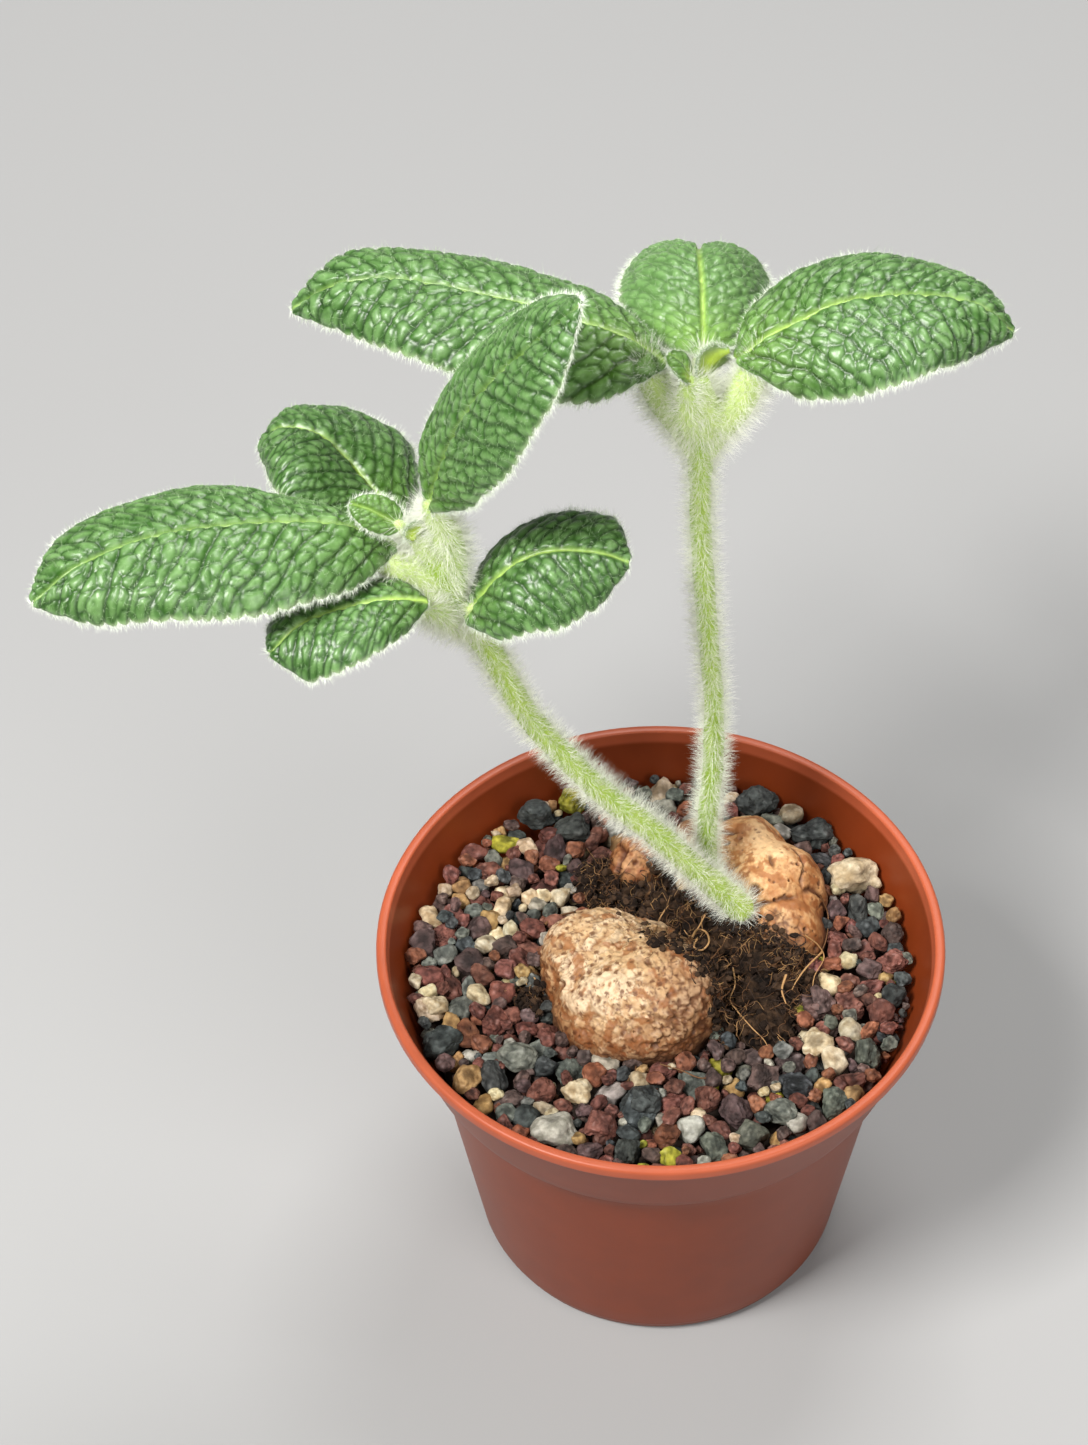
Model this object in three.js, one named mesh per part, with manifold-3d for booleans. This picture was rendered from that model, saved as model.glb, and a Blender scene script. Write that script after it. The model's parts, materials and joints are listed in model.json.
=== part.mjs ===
// Potted tuberous house plant: a terracotta-coloured plastic nursery pot, a
// mineral grit filling with a top layer of gravel, a large knobbly tuber
// with a band of root peat, and two hairy stems with their puckered leaves.
// Millimetres, +Z up, origin at the centre of the pot's base.
import * as THREE from 'three';
import { mergeVertices } from 'three/addons/utils/BufferGeometryUtils.js';
import Module from 'manifold-3d';

const wasm = await Module();
wasm.setup();

// ---- driving dimensions (mm) ----
const GAP = 0.3;             // clearance between neighbouring pieces
const RIM_R = 50.0;          // outer radius of the pot's rim
const POT_H = 74.0;          // height of the pot
const RIM_IN = 48.15;        // inner radius at the rim
const LIP_Z = 71.6;          // underside of the lip
const COLLAR_TOP_R = 49.0;   // collar just below the lip
const COLLAR_BOT_R = 43.9;   // collar at its lower step
const COLLAR_Z = 55.5;       // height of that step
const BODY_TOP_R = 41.4;     // body just below the step
const BASE_R = 32.7;         // radius of the base
const WALL = 1.3;            // wall thickness
const FLOOR = 2.4;           // floor thickness
const DRAIN_R = 3.0;         // drain hole radius
const DRAIN_AT = 21.0;       // drain hole circle
const DRAINS = 6;
const GRIT_TOP = 58.0;       // top of the grit filling
const GRAVEL_Z = 65.4;       // mean level of the gravel layer
const LEAF_T = 1.1;          // leaf thickness at the midrib
const LEAF_EDGE_T = 0.9;     // leaf thickness at the margin
const STEM_R = 2.2;          // stem radius without its hairs
const SEG = 48;              // segments round the pot

// ---- colours ----
const COL = {
  pot: 0xa8452b, grit: 0x5b4a40, gravel: 0x6f4f45, tuber: 0xc79a6b, peat: 0x33241a,
  stem: 0xb9c98a, leaf: 0x3f7a34, bud: 0x6ba53c,
  slate: 0x40464a, olive: 0x8d8a2c, cream: 0xcdbb98, plum: 0x5f4548, grey: 0x6d7476,
  pale: 0xa5a298, red: 0x7d3d33, ochre: 0xb08a4c,
};
const mat = (c, rough = 0.85) => new THREE.MeshStandardMaterial({ color: c, roughness: rough, metalness: 0 });

// ---- helpers ----
function solid(geo) {
  let g = geo.index ? geo.toNonIndexed() : geo.clone();
  for (const n of Object.keys(g.attributes)) if (n !== 'position') g.deleteAttribute(n);
  g = mergeVertices(g, 1e-4);
  return new wasm.Manifold(new wasm.Mesh({
    numProp: 3,
    vertProperties: new Float32Array(g.attributes.position.array),
    triVerts: new Uint32Array(g.index.array),
  }));
}
function geometry(man) {
  const m = man.getMesh();
  const g = new THREE.BufferGeometry();
  const n = m.numProp, v = m.vertProperties, p = new Float32Array((v.length / n) * 3);
  for (let i = 0; i < v.length / n; i++) for (let k = 0; k < 3; k++) p[3 * i + k] = v[n * i + k];
  g.setAttribute('position', new THREE.BufferAttribute(p, 3));
  g.setIndex(Array.from(m.triVerts));
  g.computeVertexNormals();
  return g;
}
// keeps the body with the most faces, dropping slivers left by a cut
function largest(man) {
  const m = man.getMesh(), t = m.triVerts, n = m.numProp, v = m.vertProperties, nt = t.length / 3;
  const key = new Map(), id = new Int32Array(v.length / n);
  for (let i = 0; i < id.length; i++) {
    const k = v[n * i].toFixed(4) + ',' + v[n * i + 1].toFixed(4) + ',' + v[n * i + 2].toFixed(4);
    if (!key.has(k)) key.set(k, i);
    id[i] = key.get(k);
  }
  const up = Array.from({ length: nt }, (_, i) => i);
  const find = (i) => { while (up[i] !== i) { up[i] = up[up[i]]; i = up[i]; } return i; };
  // faces that share an edge run in opposite directions along it
  const edges = new Map();
  for (let f = 0; f < nt; f++) for (let k = 0; k < 3; k++) {
    const a = id[t[3 * f + k]], b = id[t[3 * f + ((k + 1) % 3)]];
    const other = edges.get(b + '_' + a);
    if (other !== undefined) { up[find(f)] = find(other); edges.delete(b + '_' + a); } else edges.set(a + '_' + b, f);
  }
  const count = new Map();
  for (let f = 0; f < nt; f++) count.set(find(f), (count.get(find(f)) || 0) + 1);
  const best = [...count.entries()].sort((p, q) => q[1] - p[1])[0][0];
  const used = new Map(), pos = [], idx = [];
  for (let f = 0; f < nt; f++) if (find(f) === best) for (let k = 0; k < 3; k++) {
    const q = t[3 * f + k];
    if (!used.has(q)) { used.set(q, pos.length / 3); pos.push(v[n * q], v[n * q + 1], v[n * q + 2]); }
    idx.push(used.get(q));
  }
  return new wasm.Manifold(new wasm.Mesh({ numProp: 3, vertProperties: new Float32Array(pos), triVerts: new Uint32Array(idx) }));
}
// pushes every corner of a closed mesh outwards, used to cut clearances
function grown(man, by) {
  const g = geometry(man), p = g.attributes.position, n = g.attributes.normal;
  for (let i = 0; i < p.count; i++)
    p.setXYZ(i, p.getX(i) + n.getX(i) * by, p.getY(i) + n.getY(i) * by, p.getZ(i) + n.getZ(i) * by);
  const h = new THREE.BufferGeometry();
  h.setAttribute('position', p); h.setIndex(g.index);
  return solid(h);
}
function hash(i, j, k) {
  let h = (i * 374761393 + j * 668265263 + k * 2147483647) | 0;
  h = Math.imul(h ^ (h >>> 13), 1274126177); h ^= h >>> 16;
  return ((h >>> 0) / 4294967295) * 2 - 1;
}
function noise(x, y, z) {
  const i = Math.floor(x), j = Math.floor(y), k = Math.floor(z);
  const f = (t) => t * t * (3 - 2 * t), u = f(x - i), v = f(y - j), w = f(z - k);
  const l = (a, b, t) => a + (b - a) * t;
  return l(l(l(hash(i, j, k), hash(i + 1, j, k), u), l(hash(i, j + 1, k), hash(i + 1, j + 1, k), u), v),
    l(l(hash(i, j, k + 1), hash(i + 1, j, k + 1), u), l(hash(i, j + 1, k + 1), hash(i + 1, j + 1, k + 1), u), v), w);
}
const V = (a) => new THREE.Vector3(a[0], a[1], a[2]);

// closed tube of changing radius along a smooth curve
function limb(pts, radii, around = 8, along = 7) {
  const curve = new THREE.CatmullRomCurve3(pts.map(V), false, 'centripetal');
  const pos = [], idx = [];
  let up = new THREE.Vector3(0, 1, 0);
  const rad = (t) => {
    const q = t * (radii.length - 1), i = Math.min(Math.floor(q), radii.length - 2);
    return radii[i] + (radii[i + 1] - radii[i]) * (q - i);
  };
  for (let s = 0; s <= along; s++) {
    const t = s / along, c = curve.getPoint(t), d = curve.getTangent(t);
    const x = new THREE.Vector3().crossVectors(up, d).normalize();
    const y = new THREE.Vector3().crossVectors(d, x).normalize();
    up = y.clone();
    const r = rad(t);
    for (let k = 0; k < around; k++) {
      const a = (2 * Math.PI * k) / around;
      const p = c.clone().addScaledVector(x, Math.cos(a) * r).addScaledVector(y, Math.sin(a) * r);
      pos.push(p.x, p.y, p.z);
    }
  }
  const n = (along + 1) * around;
  const c0 = curve.getPoint(0).addScaledVector(curve.getTangent(0), -rad(0) * 0.55);
  const c1 = curve.getPoint(1).addScaledVector(curve.getTangent(1), rad(1) * 0.45);
  pos.push(c0.x, c0.y, c0.z, c1.x, c1.y, c1.z);
  for (let s = 0; s < along; s++) for (let k = 0; k < around; k++) {
    const a = s * around + k, b = s * around + ((k + 1) % around), c = a + around, d = b + around;
    idx.push(a, b, d, a, d, c);
  }
  for (let k = 0; k < around; k++) {
    const b = (k + 1) % around;
    idx.push(n, b, k);
    idx.push(n + 1, along * around + k, along * around + b);
  }
  const g = new THREE.BufferGeometry();
  g.setAttribute('position', new THREE.Float32BufferAttribute(pos, 3));
  g.setIndex(idx);
  return solid(g);
}

// one leaf: midrib m and the two margins a, b, each from base to tip
function leaf(r, nu = 11, nv = 3) {
  const cm = new THREE.CatmullRomCurve3(r.m.map(V), false, 'centripetal');
  const ca = new THREE.CatmullRomCurve3(r.a.map(V), false, 'centripetal');
  const cb = new THREE.CatmullRomCurve3(r.b.map(V), false, 'centripetal');
  const at = (c, t) => c.getPoint(Math.min(Math.max(t, 0), 1));
  const vs = [];
  for (let j = -nv; j <= nv; j++) vs.push(Math.sin((j / nv) * Math.PI * 0.5));
  const us = [];
  for (let i = 0; i <= nu; i++) { const q = i / nu; us.push(0.012 + 0.976 * (q - Math.sin(2 * Math.PI * q) * 0.07)); }
  const mid = (u, v) => {
    const m = at(cm, u), e = at(v < 0 ? ca : cb, u), a = at(ca, u), b = at(cb, u);
    const t = Math.abs(v), w = e.distanceTo(m);
    const tan = at(cm, u + 0.02).sub(at(cm, u - 0.02)).normalize();
    const nrm = new THREE.Vector3().crossVectors(tan, b.clone().sub(a)).normalize();
    if (nrm.z < 0) nrm.negate();
    return m.lerp(e, t).addScaledVector(nrm, 0.13 * w * Math.sin(Math.PI * t));
  };
  const P = us.map((u) => vs.map((v) => mid(u, v)));
  const nU = us.length, nV = vs.length;
  const N = P.map((row, i) => row.map((_, j) => {
    const du = P[Math.min(i + 1, nU - 1)][j].clone().sub(P[Math.max(i - 1, 0)][j]);
    const dv = P[i][Math.min(j + 1, nV - 1)].clone().sub(P[i][Math.max(j - 1, 0)]);
    const n = du.cross(dv).normalize();
    return n;
  }));
  let sign = N[nU >> 1][nV >> 1].z < 0 ? -1 : 1;
  const pos = [], idx = [];
  for (const side of [1, -1]) for (let i = 0; i < nU; i++) for (let j = 0; j < nV; j++) {
    const h = (LEAF_T + (LEAF_EDGE_T - LEAF_T) * Math.abs(vs[j])) / 2;
    const p = P[i][j].clone().addScaledVector(N[i][j], side * sign * h);
    pos.push(p.x, p.y, p.z);
  }
  const M = nU * nV;
  const quad = (a, b, c, d) => { idx.push(a, b, c, a, c, d); };
  for (let i = 0; i < nU - 1; i++) for (let j = 0; j < nV - 1; j++) {
    const a = i * nV + j, b = (i + 1) * nV + j, c = (i + 1) * nV + j + 1, d = i * nV + j + 1;
    if (sign > 0) { quad(a, b, c, d); quad(M + a, M + d, M + c, M + b); }
    else { quad(a, d, c, b); quad(M + a, M + b, M + c, M + d); }
  }
  const ring = [];
  for (let i = 0; i < nU - 1; i++) ring.push(i * nV);
  for (let j = 0; j < nV - 1; j++) ring.push((nU - 1) * nV + j);
  for (let i = nU - 1; i > 0; i--) ring.push(i * nV + nV - 1);
  for (let j = nV - 1; j > 0; j--) ring.push(j);
  for (let k = 0; k < ring.length; k++) {
    const a = ring[k], b = ring[(k + 1) % ring.length];
    if (sign > 0) quad(a, M + a, M + b, b); else quad(a, b, M + b, M + a);
  }
  const g = new THREE.BufferGeometry();
  g.setAttribute('position', new THREE.Float32BufferAttribute(pos, 3));
  g.setIndex(idx);
  return solid(g);
}

// lump seen from a centre: the smooth outer envelope of several balls
function lump(balls, centre, detail, rough = 0.25, power = 9) {
  const g = new THREE.IcosahedronGeometry(1, detail);
  for (const n of Object.keys(g.attributes)) if (n !== 'position') g.deleteAttribute(n);
  const m = mergeVertices(g, 1e-4), p = m.attributes.position, o = V(centre);
  for (let i = 0; i < p.count; i++) {
    const d = new THREE.Vector3(p.getX(i), p.getY(i), p.getZ(i)).normalize();
    let sum = 0;
    for (const [x, y, z, r] of balls) {
      const q = new THREE.Vector3(x, y, z).sub(o), b = d.dot(q), disc = b * b - q.lengthSq() + r * r;
      if (disc <= 0) continue;
      const t = b + Math.sqrt(disc);
      if (t > 0) sum += Math.pow(t, power);
    }
    const t = Math.pow(sum, 1 / power);
    const c = d.multiplyScalar(t).add(o);
    const k = 1 + (rough * noise(c.x * 0.35, c.y * 0.35, c.z * 0.35)) / t;
    c.sub(o).multiplyScalar(k).add(o);
    p.setXYZ(i, c.x, c.y, c.z);
  }
  return solid(m);
}

function stone(x, y, z, r, seed, detail = 1) {
  const g = new THREE.IcosahedronGeometry(1, detail);
  for (const n of Object.keys(g.attributes)) if (n !== 'position') g.deleteAttribute(n);
  const m = mergeVertices(g, 1e-4), p = m.attributes.position;
  for (let i = 0; i < p.count; i++) {
    const a = p.getX(i), b = p.getY(i), c = p.getZ(i);
    const k = r * (1 + 0.14 * noise(a * 1.7 + seed * 7.3, b * 1.7 - seed * 3.1, c * 1.7 + seed));
    p.setXYZ(i, x + a * k, y + b * k, z + c * k * 0.82);
  }
  return solid(m);
}

// ---- plant rails: midrib and margins of every leaf, base to tip ----
const RAILS = {
  leaf_r_west: {
    m: [[1.1,18.1,197.3],[-5.4,21.6,200.3],[-13.0,25.5,200.2],[-20.7,29.2,200.1],[-28.7,32.4,199.6],[-36.7,34.7,199.7],[-44.8,36.1,199.8],[-53.0,36.6,197.8],[-60.4,36.7,192.0]],
    a: [[1.1,18.1,197.3],[-2.8,28.6,194.8],[-8.4,36.6,194.0],[-16.0,41.8,193.3],[-24.3,45.8,193.3],[-33.4,48.0,193.7],[-42.8,48.2,194.5],[-52.0,45.7,195.1],[-60.4,36.7,192.0]],
    b: [[1.1,18.1,197.3],[-9.0,14.4,194.4],[-17.3,14.3,193.9],[-24.9,16.1,194.5],[-31.6,18.6,195.4],[-37.9,21.2,196.1],[-44.1,24.6,195.9],[-50.8,29.5,194.2],[-60.4,36.7,192.0]] },
  leaf_r_north: {
    m: [[6.3,24.4,192.3],[6.5,30.7,191.0],[6.6,37.1,190.6],[6.6,43.2,190.6],[6.4,48.8,190.2],[6.3,53.6,188.6],[6.5,57.7,185.7],[6.6,61.1,181.6],[6.7,64.1,175.8]],
    a: [[6.3,24.4,192.3],[-1.5,30.3,190.4],[-5.2,36.5,189.7],[-6.6,42.2,189.0],[-6.6,46.9,187.2],[-6.2,51.1,185.0],[-5.3,55.7,182.8],[-2.6,61.0,180.8],[6.7,64.1,175.8]],
    b: [[6.3,24.4,192.3],[13.2,31.4,188.3],[16.2,38.3,185.9],[17.5,43.8,184.4],[18.0,47.9,183.6],[18.2,51.3,182.9],[17.7,55.3,182.0],[15.7,60.3,180.5],[6.7,64.1,175.8]] },
  leaf_r_east: {
    m: [[11.3,18.3,197.8],[15.8,19.5,202.1],[21.3,21.1,204.2],[26.8,22.5,206.4],[32.7,23.3,207.1],[38.8,23.6,207.1],[44.8,23.3,206.8],[50.7,22.5,205.0],[55.4,21.5,200.3]],
    a: [[11.3,18.3,197.8],[13.9,28.6,199.2],[18.9,34.5,200.1],[25.1,37.5,201.2],[31.8,38.8,201.8],[38.5,38.1,201.1],[44.8,35.5,200.4],[50.7,31.0,200.8],[55.4,21.5,200.3]],
    b: [[11.3,18.3,197.8],[19.8,12.2,196.8],[25.1,10.0,198.5],[29.9,9.0,200.2],[34.1,8.7,201.8],[38.2,9.2,203.0],[42.4,11.1,203.4],[47.3,14.7,201.7],[55.4,21.5,200.3]] },
  leaf_r_bud_a: {
    m: [[3.8,15.2,196.1],[3.7,15.5,196.8],[3.4,15.9,197.5],[3.1,16.2,198.1],[2.7,16.6,198.6],[2.2,16.9,199.2],[1.7,17.2,199.6],[1.1,17.4,199.9],[0.4,17.6,200.1]],
    a: [[3.8,15.2,196.1],[3.9,17.1,196.1],[3.9,18.2,196.3],[3.9,19.0,196.8],[3.7,19.6,197.5],[3.2,20.0,198.1],[2.3,19.9,198.5],[1.4,19.3,199.1],[0.4,17.6,200.1]],
    b: [[3.8,15.2,196.1],[3.3,14.0,197.5],[2.7,13.5,198.5],[2.2,13.5,199.2],[1.8,13.6,199.8],[1.3,13.9,200.2],[0.9,14.4,200.5],[0.5,15.4,200.3],[0.4,17.6,200.1]] },
  leaf_r_bud_b: {
    m: [[5.8,17.0,194.1],[6.2,17.4,194.9],[6.6,17.8,195.6],[7.1,18.2,196.2],[7.7,18.5,196.9],[8.4,18.8,197.5],[9.1,19.0,198.1],[9.8,19.0,198.7],[10.7,19.1,199.3]],
    a: [[5.8,17.0,194.1],[5.6,15.9,195.9],[5.4,15.9,197.5],[5.4,16.4,198.7],[5.6,17.0,199.6],[6.3,17.6,200.4],[7.3,18.1,200.8],[8.5,18.7,200.7],[10.7,19.1,199.3]],
    b: [[5.8,17.0,194.1],[7.1,18.6,193.7],[7.9,19.5,193.6],[8.6,20.1,193.9],[9.3,20.3,194.3],[10.1,20.5,194.9],[10.8,20.4,195.8],[11.3,19.9,197.2],[10.7,19.1,199.3]] },
  leaf_l_north: {
    m: [[-37.6,4.5,178.6],[-36.1,4.5,185.9],[-34.0,4.7,192.7],[-31.5,4.9,199.1],[-28.4,4.9,205.0],[-24.7,4.7,210.3],[-20.7,4.3,215.3],[-16.9,3.7,220.4],[-13.0,3.3,225.3]],
    a: [[-37.6,4.5,178.6],[-38.5,12.8,186.5],[-35.6,16.5,192.3],[-31.4,18.3,198.3],[-27.0,18.7,204.1],[-22.7,18.0,209.6],[-18.3,15.9,214.6],[-14.0,11.0,219.4],[-13.0,3.3,225.3]],
    b: [[-37.6,4.5,178.6],[-31.5,-1.3,185.4],[-28.5,-4.4,192.1],[-25.8,-6.2,197.5],[-23.3,-6.8,202.6],[-20.9,-6.7,207.7],[-17.8,-5.9,212.7],[-15.5,-3.6,217.7],[-13.0,3.3,225.3]] },
  leaf_l_back: {
    m: [[-42.3,18.6,161.4],[-45.1,21.3,162.7],[-47.8,24.2,163.7],[-50.3,26.9,165.3],[-53.0,29.1,167.1],[-55.9,31.0,169.0],[-59.6,32.4,169.4],[-63.3,33.1,168.7],[-66.7,33.4,164.4]],
    a: [[-42.3,18.6,161.4],[-40.4,26.9,159.5],[-40.4,33.7,159.9],[-42.3,38.8,161.3],[-46.9,42.0,161.9],[-51.7,43.7,162.3],[-56.5,43.7,162.7],[-61.1,41.4,164.3],[-66.7,33.4,164.4]],
    b: [[-42.3,18.6,161.4],[-52.1,17.7,163.1],[-55.4,17.3,164.3],[-58.0,17.4,165.9],[-59.9,17.8,167.6],[-61.6,18.5,168.4],[-63.0,20.4,168.1],[-64.4,24.4,166.0],[-66.7,33.4,164.4]] },
  leaf_l_west: {
    m: [[-42.1,6.1,169.1],[-49.3,4.9,174.8],[-56.9,3.7,177.5],[-64.7,2.3,178.8],[-72.4,0.4,179.9],[-80.0,-1.7,180.5],[-87.3,-4.4,180.0],[-94.3,-7.4,178.1],[-100.3,-10.1,173.3]],
    a: [[-42.1,6.1,169.1],[-52.2,12.0,169.5],[-60.7,14.5,170.3],[-68.8,15.4,172.3],[-76.7,14.3,173.8],[-84.5,11.4,174.6],[-91.7,7.3,175.2],[-97.9,0.9,175.4],[-100.3,-10.1,173.3]],
    b: [[-42.1,6.1,169.1],[-49.0,-3.5,170.3],[-55.7,-8.6,172.8],[-62.2,-11.9,173.9],[-68.8,-13.6,174.8],[-75.4,-14.4,175.2],[-82.4,-14.5,174.6],[-90.0,-13.8,172.9],[-100.3,-10.1,173.3]] },
  leaf_l_low_west: {
    m: [[-37.6,-2.3,164.8],[-41.0,-3.1,166.4],[-44.5,-3.8,167.1],[-48.0,-4.6,167.1],[-51.4,-5.7,167.1],[-54.8,-6.9,166.9],[-57.9,-8.3,166.5],[-60.5,-10.0,165.3],[-63.0,-11.5,162.7]],
    a: [[-37.6,-2.3,164.8],[-42.2,2.5,164.8],[-46.3,4.1,163.5],[-50.2,3.8,162.1],[-54.0,3.0,161.4],[-57.6,1.6,161.3],[-60.9,-0.6,161.6],[-63.3,-4.6,162.0],[-63.0,-11.5,162.7]],
    b: [[-37.6,-2.3,164.8],[-41.0,-8.2,164.8],[-43.5,-11.6,165.8],[-46.0,-13.9,166.0],[-48.6,-15.4,165.6],[-51.4,-16.2,164.6],[-54.3,-16.4,163.2],[-57.6,-15.7,161.7],[-63.0,-11.5,162.7]] },
  leaf_l_low_east: {
    m: [[-32.4,1.8,155.5],[-30.2,2.6,159.8],[-27.6,3.5,163.2],[-24.5,4.4,166.1],[-20.9,4.9,168.1],[-17.0,4.9,169.1],[-13.0,4.6,169.3],[-9.1,4.0,169.0],[-5.3,3.7,167.2]],
    a: [[-32.4,1.8,155.5],[-30.2,8.5,158.0],[-27.9,12.5,160.4],[-24.4,14.7,162.7],[-20.3,15.9,164.9],[-15.8,16.0,166.5],[-11.2,14.8,167.6],[-7.1,11.5,168.4],[-5.3,3.7,167.2]],
    b: [[-32.4,1.8,155.5],[-27.1,-2.9,156.7],[-23.9,-4.5,159.3],[-21.0,-4.9,161.2],[-18.1,-5.1,161.6],[-15.4,-4.2,162.0],[-12.7,-2.6,162.6],[-9.9,-1.0,163.3],[-5.3,3.7,167.2]] },
  leaf_l_bud_a: {
    m: [[-41.8,5.2,174.0],[-42.8,5.3,174.9],[-43.9,5.5,175.8],[-44.9,5.6,176.5],[-46.0,5.8,177.2],[-47.0,5.9,177.8],[-48.1,6.1,178.2],[-49.2,6.3,178.5],[-50.2,6.4,178.8]],
    a: [[-41.8,5.2,174.0],[-41.8,6.9,175.8],[-42.5,7.6,177.0],[-43.4,8.0,177.8],[-44.5,8.1,178.5],[-45.7,8.1,178.9],[-47.0,7.9,179.2],[-48.4,7.5,179.2],[-50.2,6.4,178.8]],
    b: [[-41.8,5.2,174.0],[-43.8,3.8,174.1],[-45.2,3.4,174.6],[-46.4,3.3,175.3],[-47.5,3.4,175.9],[-48.4,3.8,176.6],[-49.2,4.3,177.2],[-49.9,5.1,177.9],[-50.2,6.4,178.8]] },
  leaf_l_bud_b: {
    m: [[-40.4,4.2,172.2],[-40.3,4.4,172.7],[-40.1,4.7,173.2],[-39.9,4.9,173.6],[-39.6,5.1,174.0],[-39.2,5.2,174.4],[-38.8,5.4,174.6],[-38.4,5.5,174.9],[-37.9,5.6,175.2]],
    a: [[-40.4,4.2,172.2],[-41.4,3.9,173.1],[-41.5,3.8,174.0],[-41.5,4.1,175.0],[-41.0,4.2,175.7],[-40.3,4.4,176.2],[-39.6,4.7,176.5],[-38.9,5.0,176.2],[-37.9,5.6,175.2]],
    b: [[-40.4,4.2,172.2],[-39.3,5.0,172.1],[-39.0,5.5,172.0],[-38.7,5.8,172.1],[-38.4,6.0,172.3],[-38.1,6.1,172.6],[-37.8,6.2,173.0],[-37.8,6.0,173.7],[-37.9,5.6,175.2]] },
};
const BUDS = new Set(['leaf_r_bud_a', 'leaf_r_bud_b', 'leaf_l_bud_a', 'leaf_l_bud_b']);

// ---- pot ----
const rIn = (z) => (z >= COLLAR_Z + 1.5
  ? COLLAR_BOT_R - WALL + ((RIM_IN - 0.5 - COLLAR_BOT_R + WALL) * (z - COLLAR_Z - 1.5)) / (POT_H - 2.6 - COLLAR_Z - 1.5)
  : BASE_R - WALL + 0.4 + ((BODY_TOP_R - WALL - BASE_R + WALL - 0.4) * (z - FLOOR)) / (COLLAR_Z - FLOOR));
const profile = [
  [0, 0], [BASE_R - 1.5, 0], [BASE_R - 0.45, 0.4], [BASE_R, 1.4], [BASE_R + 0.55, 2.2],
  [BODY_TOP_R, COLLAR_Z - 0.7], [COLLAR_BOT_R - 0.3, COLLAR_Z - 0.1], [COLLAR_BOT_R, COLLAR_Z + 0.4],
  [COLLAR_TOP_R, LIP_Z - 0.3], [RIM_R - 0.25, LIP_Z], [RIM_R, LIP_Z + 0.6], [RIM_R, POT_H - 0.7],
  [RIM_R - 0.5, POT_H - 0.1], [RIM_R - 0.9, POT_H], [RIM_IN + 0.45, POT_H], [RIM_IN, POT_H - 0.45],
  [rIn(POT_H - 2.6), POT_H - 2.6], [rIn(COLLAR_Z + 1.5), COLLAR_Z + 1.5], [BODY_TOP_R - WALL, COLLAR_Z - 0.6],
  [rIn(FLOOR + 1.4), FLOOR + 1.4], [rIn(FLOOR) - 1.2, FLOOR], [0, FLOOR],
].map(([r, z]) => new THREE.Vector2(r, z));
let pot = solid(new THREE.LatheGeometry(profile, SEG).rotateX(Math.PI / 2));
for (let i = 0; i < DRAINS; i++) {
  const a = (2 * Math.PI * (i + 0.5)) / DRAINS;
  const c = new THREE.CylinderGeometry(DRAIN_R, DRAIN_R, 12, 12).rotateX(Math.PI / 2)
    .translate(DRAIN_AT * Math.cos(a), DRAIN_AT * Math.sin(a), 1);
  pot = pot.subtract(solid(c));
}

// ---- tuber: front lobe, back lobe, a small lobe and the hidden body ----
let tuber = lump([[-11, -0.4, 67, 10.3], [-1, -8.6, 67.5, 12.1], [-8.6, -9.3, 66.5, 10.5], [-3.6, -1.8, 67, 8.5]], [-5.2, -5.6, 66.5], 4, 0.5);
tuber = tuber.add(lump([[7.7, 27.1, 65, 6.2], [15.2, 23.9, 66, 8.1], [20.7, 15.8, 66, 9.5], [22, 6.8, 65, 7.5]], [18.4, 17.2, 64.5], 4, 0.5));
tuber = tuber.add(lump([[-4, 22.7, 66.5, 4.9]], [-4, 22.7, 66.5], 2, 0.3));
tuber = tuber.add(lump([[11.4, 16.8, 65.6, 4.3]], [11.4, 16.8, 65.6], 2, 0.2));
tuber = tuber.add(lump([[5, 5, 54.5, 11], [1, 16, 59, 7], [14, 12.5, 57.5, 8.5], [-3, -3, 58, 8]], [5, 7, 55], 3, 0.3));

// ---- stems ----
let stemLeft = limb([[15.6, 8.5, 69.6], [14.1, 8.6, 72.2], [11.3, 8.6, 76.2], [5.1, 8.3, 85], [-1.7, 8, 94.8], [-9.6, 7.6, 104.8], [-17.4, 7.2, 117], [-23, 6.9, 127.5], [-28.5, 6.6, 142.8], [-32.9, 6.3, 153], [-35.9, 6, 162.2], [-37.3, 6, 168]],
  [2.5, 2.5, 2.35, 2.25, 2.2, 2.15, 2.1, 2.1, 2.2, 2.5, 2.6, 2.3], 9, 20);
stemLeft = stemLeft.add(limb([[-34.6, 6.2, 155], [-34.6, 6.5, 164.2], [-34.9, 6.4, 170.3], [-35.8, 6.2, 176]], [2, 2.5, 2.2, 1.5]));
stemLeft = stemLeft.add(limb([[-34.9, 6.2, 156.4], [-38.6, 5.8, 162.2], [-42.2, 4.9, 166.4], [-46.5, 3.9, 170.6]], [1.9, 2.4, 2.2, 1.4]));
stemLeft = stemLeft.add(limb([[-32.4, 6.2, 149.6], [-36, 4, 154.4], [-38.4, 0.6, 160.4], [-41, -2.6, 164.4]], [1.6, 1.7, 1.6, 1.1]));
stemLeft = stemLeft.add(limb([[-32, 6, 149.8], [-30.6, 4.4, 153.4], [-29, 3.1, 158]], [1.6, 1.6, 1.1]));
stemLeft = stemLeft.add(limb([[-37, 6.4, 163], [-39.6, 11, 163.4], [-42.4, 17.6, 161.4], [-45, 21, 161.2]], [1.7, 1.8, 1.6, 1.2]));
stemLeft = stemLeft.add(limb([[-37.4,6,168],[-39.4,5.9,170.8],[-41,5.5,172.9]], [1.8, 1.4, 0.9], 8, 4));
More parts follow.
